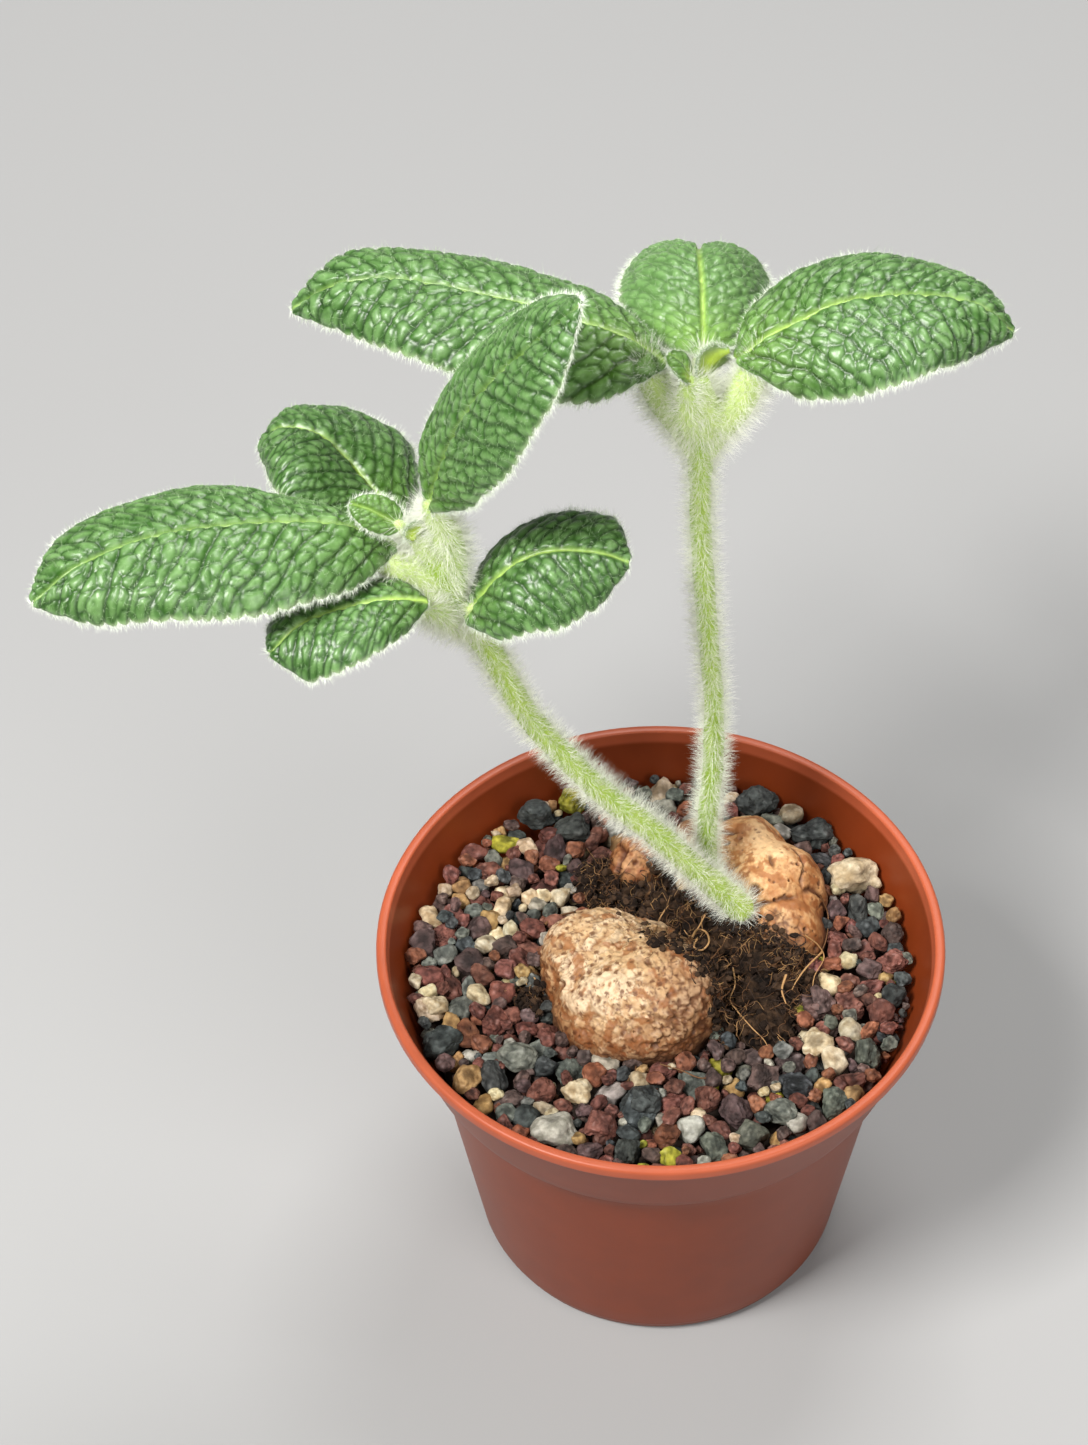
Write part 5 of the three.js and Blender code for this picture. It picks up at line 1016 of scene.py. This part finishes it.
# single grains set where they are seen: picture place, radius, kind
SEEN = [(572, 828, 3.0, 'slate'), (788, 804, 2.1, 'cream'), (801, 797, 1.5, 'cream'), (850, 1029, 2.1, 'cream'), (828, 981, 2.2, 'cream'), (671, 1155, 2.0, 'olive'),
        (815, 1003, 2.8, 'plum'), (437, 1043, 3.1, 'slate'), (495, 1078, 2.5, 'slate'), (641, 1104, 3.6, 'slate'), (706, 1098, 2.6, 'red'), (735, 1108, 3.0, 'plum'),
        (762, 1075, 2.4, 'plum'), (795, 1085, 2.6, 'slate'), (779, 1110, 2.7, 'grey'), (753, 1133, 2.8, 'grey'), (715, 1147, 2.5, 'grey'), (628, 1151, 2.8, 'slate'),
        (541, 1090, 2.5, 'red'), (482, 1103, 2.0, 'ochre'), (449, 1113, 0.1, 'ochre'), (812, 1040, 2.3, 'cream'), (840, 1105, 2.6, 'grey'), (867, 1050, 2.6, 'grey'),
        (868, 925, 2.2, 'slate'), (848, 958, 1.8, 'cream'), (869, 967, 1.9, 'plum'), (820, 1030, 1.6, 'red'), (857, 905, 2.2, 'slate'), (820, 830, 2.4, 'slate'),
        (424, 1010, 2.6, 'cream'), (429, 975, 2.1, 'red'), (445, 952, 1.9, 'grey'), (478, 925, 2.0, 'plum'), (489, 917, 1.7, 'ochre'), (462, 884, 1.8, 'ochre'),
        (500, 990, 2.2, 'red'), (493, 1020, 2.4, 'red'), (467, 1030, 2.1, 'rust'), (505, 945, 2.3, 'plum'), (470, 960, 2.2, 'plum'), (529, 895, 1.7, 'cream'),
        (522, 868, 2.0, 'plum'), (548, 862, 1.9, 'rust'), (560, 895, 1.8, 'cream'), (505, 842, 2.0, 'olive'), (470, 848, 2.1, 'red'), (880, 1010, 2.3, 'red'),
        (893, 960, 2.4, 'red'), (898, 930, 2.2, 'plum'), (650, 775, 1.9, 'plum'), (680, 778, 2.2, 'slate'), (612, 780, 1.8, 'rust'), (765, 795, 2.8, 'slate'),
        (745, 805, 2.0, 'plum'), (430, 915, 2.0, 'cream'), (417, 940, 2.2, 'plum'), (408, 975, 2.0, 'red'), (690, 1128, 2.3, 'pale'), (668, 1132, 2.2, 'rust'),
        (604, 1128, 2.1, 'red'), (590, 1148, 2.0, 'plum'), (525, 1115, 2.2, 'slate'), (575, 1062, 0.1, 'red'), (765, 1040, 0.1, 'pale'), (835, 1060, 2.2, 'cream')]
seen = []
for px, py, r, kind in SEEN:
    if r < 0.5:
        continue
    q_ = at_height(px, py, 66.0)
    lim_ = wall(65.0) - r * 1.26 - 0.30
    at_ = np.hypot(q_[0], q_[1])
    if at_ < lim_ + 1.5:
        q_ = q_ * min(1.0, lim_ / at_)
        seen.append((q_[0], q_[1], 65.2 + 0.15 * rg.random(), r, kind))
kinds = ['red', 'rust', 'plum', 'slate', 'grey', 'cream', 'ochre', 'olive', 'pale']
prob = np.array([0.26, 0.11, 0.24, 0.11, 0.08, 0.09, 0.055, 0.010, 0.050])
prob /= prob.sum()
sizes = np.concatenate([rg.uniform(1.9, 2.6, 110), rg.uniform(1.45, 2.05, 300), rg.uniform(1.05, 1.5, 260), rg.uniform(0.6, 1.05, 230)])
order = np.argsort(-sizes + rg.normal(size=len(sizes)) * 0.75)
arr = np.zeros((len(P) + len(seen) + len(sizes), 4))
arr[:len(P)] = P
grains = []
cnt = len(P)
for x, y, z, r, kind in seen:
    arr[cnt] = (x, y, z, r * 0.92)
    grains.append((x, y, z, r, kinds.index(kind)))
    cnt += 1
for r in sizes[order]:
    k = 34
    rad = np.sqrt(rg.random(k)) * (wall(66) - r * 1.02)
    an = rg.random(k) * 2 * np.pi
    x, y = rad * np.cos(an), rad * np.sin(an)
    d2 = (x[:, None] - arr[None, :cnt, 0]) ** 2 + (y[:, None] - arr[None, :cnt, 1]) ** 2
    s = (r + arr[None, :cnt, 3]) * 0.90
    zc = np.where(d2 < s * s, arr[None, :cnt, 2] + np.sqrt(np.maximum(s * s - d2, 0)), 0)
    z = np.maximum(zc.max(1), 61.6 + r)
    z = np.where(rad > wall(z) - r * 1.26 - 0.25, 99, z)
    b = int(np.argmin(z + r * 0.4))
    if z[b] + r > 67.9:
        continue
    arr[cnt] = (x[b], y[b], z[b], r)
    grains.append((x[b], y[b], z[b], r, rg.choice(len(kinds), p=prob)))
    cnt += 1
grains = np.array(grains)
# the lower ones need less detail
top = grains[:, 2] + grains[:, 3] > 65.0
print("grains", len(grains), "in sight", int(top.sum()))
for ki, kind in enumerate(kinds):
    sel = np.flatnonzero(grains[:, 4] == ki)
    if not len(sel):
        continue
    V, F, C, U, off = [], [], [], [], 0
    cells = int(math.ceil(math.sqrt(2 * len(sel))))
    for g, gi in enumerate(sel):
        x, y, z, r, _ = grains[gi]
        sub = (3 if r > 2.3 else 2 if r > 0.9 else 1) if top[gi] else 1
        shp, f = stone_shape(sub, 1, rg, 0.86, porous={'red': 0.13, 'rust': 0.12, 'plum': 0.10, 'slate': 0.10}.get(kind, 0.03))
        V.append(shp[0] * r * 1.06 + np.array([x, y, z]))
        F.append(f + off)
        off += len(shp[0])
        tint = rg.uniform(0.70, 1.25) * rg.uniform([0.93, 0.95, 0.92], [1.07, 1.05, 1.08])
        C.append(rock_colour(shp[0], kind, gi * 0.7) * tint)
        uvl, lowm = ball_uv(ICO[sub][0], f)
        ids = 2 * g + lowm.astype(int)
        cx, cy = (ids % cells + 0.5) / cells, (ids // cells + 0.5) / cells
        U.append(np.stack([cx, cy], 1) + uvl * 0.40 / cells)
    make("gravel_" + kind, np.vstack(V), np.vstack(F), col=np.vstack(C), uv=np.vstack(U), mat=rock_mat, nodes=("gravel_layer",),
         sharp=kind in ('red', 'rust', 'plum', 'slate', 'grey'))

# the filling below, seen only between grains and through the drain holes
grit_mat, nt, b = material("grit_dark", base=(0.05, 0.032, 0.024), rough=0.9)
g = frame["nodes"]["grit_filling"]
g.data.materials.clear()
g.data.materials.append(grit_mat)


# ------------------------------------------------------------------ peat and roots
peat_mat = painted("peat", rough=0.95, grain=0.35, grain_scale=1300, bump=1.0, bump_scale=1300, bump_dist=0.0004, spec=0.2)
rp = np.random.default_rng(5)
parts = []
for i, (x, y, z, r) in enumerate(PEAT):
    d, f = ICO[3]
    p = np.array([x, y, z]) + d * (r * 0.95) * np.array([1, 1, 0.80])
    n = fbm(p * 0.5, 300 + i, 4)
    a1, a2, aid = worley3(p * 0.62, 310)
    b1, b2, bid = worley3(p * 1.35, 311)
    p = p + d * (0.9 * n + 1.1 * (aid - 0.5) - 0.7 * smooth(0.25, 0.0, a2 - a1) + 0.5 * (bid - 0.5))[:, None]
    c = mix([0.006, 0.0035, 0.0024], [0.062, 0.034, 0.018], np.clip(0.30 + 0.9 * n + 0.5 * (aid - 0.5) + 0.5 * (bid - 0.5), 0, 1))
    keep = p[f][:, :, 2].max(1) > 63.5
    f = f[keep]
    used, inv = np.unique(f.ravel(), return_inverse=True)
    uvl, lowm = ball_uv(d, f)
    parts.append((p[used], inv.reshape(-1, 3), c[used], np.where(lowm[:, None], [[0.75, 0.5]], [[0.25, 0.5]]) + uvl * 0.22))
v, f, c, uv = join(parts)
make("peat_clump", v, f, col=c, uv=uv, mat=peat_mat, nodes=("root_peat",), sharp=True)
PA = np.array(PEAT)
BALLS = FRONT[0] + BACK[0] + SMALL[0] + CROWN[0]
SOLID = BALLS + [tuple(q) for q in PEAT]
wp = PA[:, 3] ** 2
wp = wp / wp.sum()
# crumbs: on the clump, and strewn where it spills over the tuber
V, F, C, off = [], [], [], 0
spill = [(610, 897, 9, 5), (628, 905, 8, 6), (642, 925, 8, 8), (655, 938, 9, 6), (675, 944, 9, 6), (692, 955, 9, 7), (705, 968, 8, 8), (714, 988, 7, 9), (719, 1008, 6, 9), (722, 1030, 6, 10),
         (735, 925, 12, 8), (757, 925, 12, 8), (775, 938, 12, 8), (792, 952, 10, 8), (807, 965, 9, 9), (818, 985, 8, 12), (537, 1000, 7, 14), (590, 880, 12, 8)]
for i in range(1100):
    if rp.random() < 0.55:
        j = rp.choice(len(PA), p=wp)
        dd = unit(rp.normal(size=3) * np.array([1, 1, 0.6]) + np.array([0, 0, 0.6]))
        pos = PA[j, :3] + dd * PA[j, 3] * np.array([0.98, 0.98, 0.80])
        r = rp.uniform(0.25, 0.95)
    else:
        a = spill[rp.integers(len(spill))]
        pos = on_balls(a[0] + rp.normal() * a[2] * 0.6, a[1] + rp.normal() * a[3] * 0.6, SOLID, 0.25)
        r = rp.uniform(0.20, 0.75)
    shp, ff = stone_shape(0 if r < 0.6 else 1, 1, rp, 0.8)
    V.append(shp[0] * r + pos)
    F.append(ff + off)
    off += len(shp[0])
crumb_mat, _, _ = material("peat_crumb", base=(0.014, 0.008, 0.005), rough=0.95, spec=0.2)
half = int(len(V) * 0.62)
nv_, nf_ = sum(len(q) for q in V[:half]), sum(len(q) for q in F[:half])
VV, FF = np.vstack(V), np.vstack(F)
make("peat_crumbs", VV[:nv_], FF[:nf_], mat=crumb_mat, nodes=("root_peat",), sharp=True)
crumb2_mat, _, _ = material("peat_crumb_brown", base=(0.055, 0.030, 0.016), rough=0.9, spec=0.25)
make("peat_crumbs_brown", VV[nv_:], FF[nf_:] - nv_, mat=crumb2_mat, nodes=("root_peat",), sharp=True)


def fibre(pts, r0, r1, around=4, n=10):
    t = np.linspace(0, 1, n + 1)
    C = curve(pts, t)
    T = unit(np.gradient(C, axis=0))
    up = np.array([0.13, 0.21, 0.97])
    X = unit(np.cross(T, up))
    Y = np.cross(T, X)
    a = np.linspace(0, 2 * np.pi, around, endpoint=False)
    r = np.linspace(r0, r1, n + 1)
    ring = C[:, None] + (X[:, None] * np.cos(a)[None, :, None] + Y[:, None] * np.sin(a)[None, :, None]) * r[:, None, None]
    I, K = np.meshgrid(np.arange(n), np.arange(around), indexing='ij')
    k2 = (K + 1) % around
    q = np.stack([I * around + K, (I + 1) * around + K, (I + 1) * around + k2, I * around + k2], -1).reshape(-1, 4)
    return ring.reshape(-1, 3), q


def lifted(q, lift):
    """keeps a point on or above the tuber, the peat and the gravel"""
    q = np.array(q, float)
    for x, y, z, r in SOLID:
        v_ = q - np.array([x, y, z])
        l = np.linalg.norm(v_)
        if l < r + lift:
            q = np.array([x, y, z]) + v_ / max(l, 1e-6) * (r + lift)
    q[2] = max(q[2], 66.0)
    return q


def fibres(name, count, rng, col, rmin, rmax, lmin, lmax, weights=None, extra=(), spilled=0.35):
    V, F, off = [], [], 0
    def put(pts, r0, r1, around=3, n=7):
        nonlocal off
        v_, f_ = fibre(pts, r0, r1, around=around, n=n)
        V.append(v_)
        F.append(f_ + off)
        off += len(v_)
    for i in range(count):
        if rng.random() < spilled:
            a = spill[rng.integers(len(spill))]
            p = on_balls(a[0] + rng.normal() * a[2] * 0.7, a[1] + rng.normal() * a[3] * 0.7, SOLID, 0.1)
        else:
            j = rng.choice(len(PA), p=weights)
            dd = unit(rng.normal(size=3) * np.array([1, 1, 0.5]) + np.array([0, 0, 0.75]))
            p = PA[j, :3] + dd * PA[j, 3] * np.array([0.95, 0.95, 0.78])
        g = unit(rng.normal(size=3) * np.array([1, 1, 0.55]))
        pts = [p]
        L = rng.uniform(lmin, lmax)
        for s in range(4):
            g = unit(g + rng.normal(size=3) * 0.75 + np.array([0, 0, -0.10]))
            pts.append(lifted(pts[-1] + g * L / 4, 0.1 + 0.5 * rng.random()))
        r = rng.uniform(rmin, rmax)
        put(pts, r, r * 0.35)
    for path, r0, r1, lift in extra:
        pts = [on_balls(px, py, SOLID, lift) for px, py in path]
        put(pts, r0, r1, around=5, n=6 * len(path))
    m_, _, _ = material(name + "_mat", base=col, rough=0.7, spec=0.35)
    return make(name, np.vstack(V), np.vstack(F), mat=m_, nodes=("root_peat",))


w = wp
fibres("roots_dark", 640, rp, (0.028, 0.014, 0.008), 0.05, 0.15, 2.0, 5.5, w)
fibres("roots_brown", 330, rp, (0.150, 0.068, 0.026), 0.04, 0.11, 1.8, 5, w, extra=[
    ([(634, 1030), (631, 1045), (636, 1062), (634, 1078)], 0.22, 0.12, 0.15),
    ([(660, 1064), (680, 1070), (700, 1078), (716, 1076)], 0.18, 0.10, 0.2),
    ([(545, 925), (552, 918), (562, 915), (575, 912)], 0.32, 0.20, 0.4),
    ([(632, 1074), (625, 1084), (616, 1088)], 0.15, 0.08, 0.3),
    ([(755, 840), (775, 845), (795, 852), (803, 872)], 0.14, 0.10, 0.1),
    ([(820, 895), (828, 915), (826, 940), (818, 958)], 0.16, 0.09, 0.4)])
fibres("roots_tan", 280, rp, (0.480, 0.270, 0.110), 0.035, 0.08, 1.6, 4.5, w, extra=[
    ([(822, 952), (806, 968), (796, 982), (792, 990)], 0.20, 0.10, 0.6),
    ([(733, 968), (735, 985), (730, 1000), (738, 1012)], 0.16, 0.08, 0.5),
    ([(668, 905), (660, 918), (655, 930), (648, 938)], 0.15, 0.08, 0.5),
    ([(705, 915), (698, 928), (690, 936), (684, 930)], 0.14, 0.07, 0.6),
    ([(738, 1012), (752, 1028), (764, 1040), (770, 1052)], 0.13, 0.06, 0.5),
    ([(786, 975), (782, 990), (786, 1004)], 0.26, 0.12, 0.6),
    ([(692, 938), (697, 930), (706, 932), (709, 942), (702, 950), (694, 947), (697, 939)], 0.22, 0.14, 0.8),
    ([(805, 935), (818, 945), (824, 958), (815, 975), (812, 990)], 0.14, 0.07, 0.6),
    ([(536, 980), (530, 974), (524, 978), (527, 985)], 0.14, 0.07, 0.5)])


# ------------------------------------------------------------------ pot
RIM_R, POT_H, RIM_IN, LIP_Z = 50.0, 74.0, 48.15, 71.6
CT, CB, CZ, BT, BR, WALL, FLOOR = 49.0, 43.9, 55.5, 41.4, 32.7, 1.3, 2.4


def r_in(z):
    if z >= CZ + 1.5:
        return CB - WALL + (RIM_IN - 0.5 - CB + WALL) * (z - CZ - 1.5) / (POT_H - 2.6 - CZ - 1.5)
    return BR - WALL + 0.4 + (BT - WALL - BR + WALL - 0.4) * (z - FLOOR) / (CZ - FLOOR)


def arc(cx, cz, r, a0, a1, n):
    return [(cx + r * math.cos(math.radians(a)), cz + r * math.sin(math.radians(a))) for a in np.linspace(a0, a1, n)]


prof = [(0, 0.0), (8, 0.0), (20, 0.0), (BR - 1.7, 0.0)] + arc(BR - 1.4, 1.4, 1.4, -82, -8, 5) + [(BR + 0.15, 1.9), (BR + 0.5, 2.25), (BR + 0.62, 2.7)]
prof += [(BR + 0.62 + (BT - BR - 0.62) * q, 2.7 + (CZ - 1.0 - 2.7) * q) for q in np.linspace(0.08, 1, 10)]
prof += [(BT + 0.25, CZ - 0.55)] + [(CB - 0.75, CZ - 0.25), (CB - 0.25, CZ - 0.05), (CB, CZ + 0.35)]
prof += [(CB + (CT - CB) * q, CZ + 0.35 + (LIP_Z - 0.35 - CZ - 0.35) * q) for q in np.linspace(0.12, 1, 6)]
prof += [(CT + 0.35, LIP_Z - 0.12), (RIM_R - 0.35, LIP_Z - 0.02)] + arc(RIM_R - 0.45, LIP_Z + 0.45, 0.45, -80, 0, 4)
prof += [(RIM_R, POT_H - 0.9)] + arc(RIM_R - 0.75, POT_H - 0.75, 0.75, 8, 90, 6) + arc(RIM_IN + 0.5, POT_H - 0.5, 0.5, 98, 180, 5)
prof += [(RIM_IN - 0.15, POT_H - 1.3), (r_in(POT_H - 2.6), POT_H - 2.6)] + [(r_in(z), z) for z in np.linspace(POT_H - 5, CZ + 1.5, 6)]
prof += [(BT - WALL + 0.15, CZ - 0.2), (BT - WALL, CZ - 0.6)] + [(r_in(z), z) for z in np.linspace(CZ - 6, FLOOR + 1.6, 4)] + [(r_in(FLOOR) - 0.6, FLOOR + 0.3), (r_in(FLOOR) - 1.6, FLOOR), (0, FLOOR)]
prof = np.array(prof)
SEG = 144
an = np.linspace(0, 2 * np.pi, SEG, endpoint=False)
V = [np.array([[0, 0, prof[0, 1]]])]
for r, z in prof[1:-1]:
    V.append(np.stack([r * np.cos(an), r * np.sin(an), np.full(SEG, z)], 1))
V.append(np.array([[0, 0, prof[-1, 1]]]))
V = np.vstack(V)
nr = len(prof) - 2
k = np.arange(SEG)
k2 = (k + 1) % SEG
tri = [np.stack([np.zeros(SEG, int), 1 + k2, 1 + k], 1)]
quad = []
for i in range(nr - 1):
    a, b = 1 + i * SEG, 1 + (i + 1) * SEG
    quad.append(np.stack([a + k, a + k2, b + k2, b + k], 1))
last = 1 + (nr - 1) * SEG
tri.append(np.stack([np.full(SEG, len(V) - 1), last + k, last + k2], 1))
pot_mat, nt, b = material("pot_plastic", base=(0.36, 0.082, 0.034), rough=0.40, spec=0.32, coat=0.0)
tc = nt.nodes.new("ShaderNodeTexCoord")
sx = nt.nodes.new("ShaderNodeSeparateXYZ")
nt.links.new(tc.outputs["Object"], sx.inputs[0])
# painted highlight: rim and lip above the step brighter than the body (A body, B lip), as if lit from above
lip_highlight_mask = nt.nodes.new("ShaderNodeMapRange")
lip_highlight_mask.interpolation_type = "SMOOTHSTEP"
lip_highlight_mask.inputs["From Min"].default_value = 0.0712
lip_highlight_mask.inputs["From Max"].default_value = 0.0722
nt.links.new(sx.outputs["Z"], lip_highlight_mask.inputs["Value"])
mx = nt.nodes.new("ShaderNodeMix")
mx.data_type = "RGBA"
mx.inputs["A"].default_value = (0.205, 0.034, 0.0070, 1)
mx.inputs["B"].default_value = (0.430, 0.092, 0.038, 1)
nt.links.new(lip_highlight_mask.outputs["Result"], mx.inputs["Factor"])
no = nt.nodes.new("ShaderNodeTexNoise")
no.inputs["Scale"].default_value = 160
no.inputs["Detail"].default_value = 3
nt.links.new(tc.outputs["Object"], no.inputs["Vector"])
mr = nt.nodes.new("ShaderNodeMapRange")
mr.inputs["From Min"].default_value = 0.3
mr.inputs["From Max"].default_value = 0.7
mr.inputs["To Min"].default_value = 0.94
mr.inputs["To Max"].default_value = 1.06
nt.links.new(no.outputs["Fac"], mr.inputs["Value"])
sc = nt.nodes.new("ShaderNodeVectorMath")
sc.operation = "SCALE"
nt.links.new(mx.outputs["Result"], sc.inputs[0])
nt.links.new(mr.outputs["Result"], sc.inputs["Scale"])
nt.links.new(sc.outputs["Vector"], b.inputs["Base Color"])
pot = make("pot_shell", V, [np.vstack(tri), np.vstack(quad)], mat=pot_mat, nodes=("pot",))
# drain holes through the floor
cut = bpy.data.meshes.new("drain_cut")
dv, df = [], []
for i in range(6):
    a0 = 2 * math.pi * (i + 0.5) / 6
    cx, cy = 21 * math.cos(a0), 21 * math.sin(a0)
    base = len(dv)
    for z in (-3, 6):
        for j in range(28):
            t_ = 2 * math.pi * j / 28
            dv.append(((cx + 3 * math.cos(t_)) * MM, (cy + 3 * math.sin(t_)) * MM, z * MM))
    df.append([base + j for j in range(27, -1, -1)])
    df.append([base + 28 + j for j in range(28)])
    for j in range(28):
        df.append([base + j, base + (j + 1) % 28, base + 28 + (j + 1) % 28, base + 28 + j])
cut.from_pydata(dv, [], df)
cut.update()
co = bpy.data.objects.new("drain_cut", cut)
bpy.context.scene.collection.objects.link(co)
bo = pot.modifiers.new("holes", "BOOLEAN")
bo.operation = "DIFFERENCE"
bo.solver = "EXACT"
bo.object = co
bpy.context.view_layer.update()
ev = pot.evaluated_get(bpy.context.evaluated_depsgraph_get())
me = bpy.data.meshes.new_from_object(ev)
pot.modifiers.clear()
me.materials.clear()
me.materials.append(pot_mat)
pot.data = me
for p_ in me.polygons:
    p_.use_smooth = True
if hasattr(me, "set_sharp_from_angle"):
    me.set_sharp_from_angle(angle=math.radians(38))
bpy.data.objects.remove(co)

# ------------------------------------------------------------------ stage, lights, camera
floor_mat, _, _ = material("stage_floor", base=(0.37, 0.37, 0.37), rough=0.85, spec=0.1)
fm = bpy.data.meshes.new("stage_floor")
R = 3.0
fm.from_pydata([(-R, -R, -0.0002), (R, -R, -0.0002), (R, R, -0.0002), (-R, R, -0.0002)], [], [(0, 1, 2, 3)])
fo = bpy.data.objects.new("stage_floor", fm)
bpy.context.scene.collection.objects.link(fo)
fm.materials.append(floor_mat)

world = bpy.data.worlds.new("studio") if not bpy.context.scene.world else bpy.context.scene.world
bpy.context.scene.world = world
world.use_nodes = True
bg = world.node_tree.nodes.get("Background") or world.node_tree.nodes.new("ShaderNodeBackground")
bg.inputs["Color"].default_value = (0.98, 0.99, 1.0, 1)
bg.inputs["Strength"].default_value = 0.19


def area_light(name, loc, target, size, power, color=(1, 1, 1)):
    l = bpy.data.lights.new(name, "AREA")
    l.shape = "RECTANGLE"
    l.size, l.size_y = size
    l.energy = power
    l.color = color
    o = bpy.data.objects.new(name, l)
    bpy.context.scene.collection.objects.link(o)
    o.location = loc
    o.rotation_euler = (Vector(target) - Vector(loc)).to_track_quat("-Z", "Y").to_euler()
    return o


area_light("key", (-0.55, -0.45, 1.10), (0, 0, 0.12), (0.38, 0.30), 20.0, (1.0, 0.985, 0.96))
area_light("top", (0.15, 0.50, 1.20), (0, 0, 0.12), (0.50, 0.40), 10.0, (1.0, 0.99, 0.97))
area_light("front", (0.60, -0.85, 0.80), (0, 0, 0.10), (0.7, 0.6), 6.5, (1.0, 0.99, 0.97))

cam = bpy.data.cameras.new("camera")
cam.lens = 112.11
cam.sensor_width = 36.0
cam.sensor_fit = "AUTO"
cam.clip_start, cam.clip_end = 0.01, 20
cobj = bpy.data.objects.new("camera", cam)
bpy.context.scene.collection.objects.link(cobj)
pitch, yaw, roll = 0.8574447842, -0.0154078342, 0.0187293439
cyw, syw, cp, sp_ = math.cos(yaw), math.sin(yaw), math.cos(pitch), math.sin(pitch)
fw = np.array([syw * cp, cyw * cp, -sp_])
rt = np.array([cyw, -syw, 0.0])
dn = np.cross(fw, rt)
cr, sr = math.cos(roll), math.sin(roll)
r2, d2 = cr * rt + sr * dn, -sr * rt + cr * dn
mat4 = Matrix(((r2[0], -d2[0], -fw[0], -0.012208851), (r2[1], -d2[1], -fw[1], -0.488479184), (r2[2], -d2[2], -fw[2], 0.697038421), (0, 0, 0, 1)))
cobj.matrix_world = mat4
bpy.context.scene.camera = cobj

scn = bpy.context.scene
scn.view_settings.view_transform = "Standard"
scn.view_settings.look = "None"
scn.view_settings.exposure = 0.0

tris = {}
for o in bpy.data.objects:
    if o.type == "MESH" and o.name not in frame["nodes"]:
        o.data.calc_loop_triangles()
        tris[o.name] = len(o.data.loop_triangles)
groups = {}
for n_, t_ in tris.items():
    k_ = n_.split("_")[0] + "_" + n_.split("_")[-1]
    groups[k_] = groups.get(k_, 0) + t_
print("TRIS", sum(tris.values()), dict(sorted(groups.items(), key=lambda q: -q[1])))
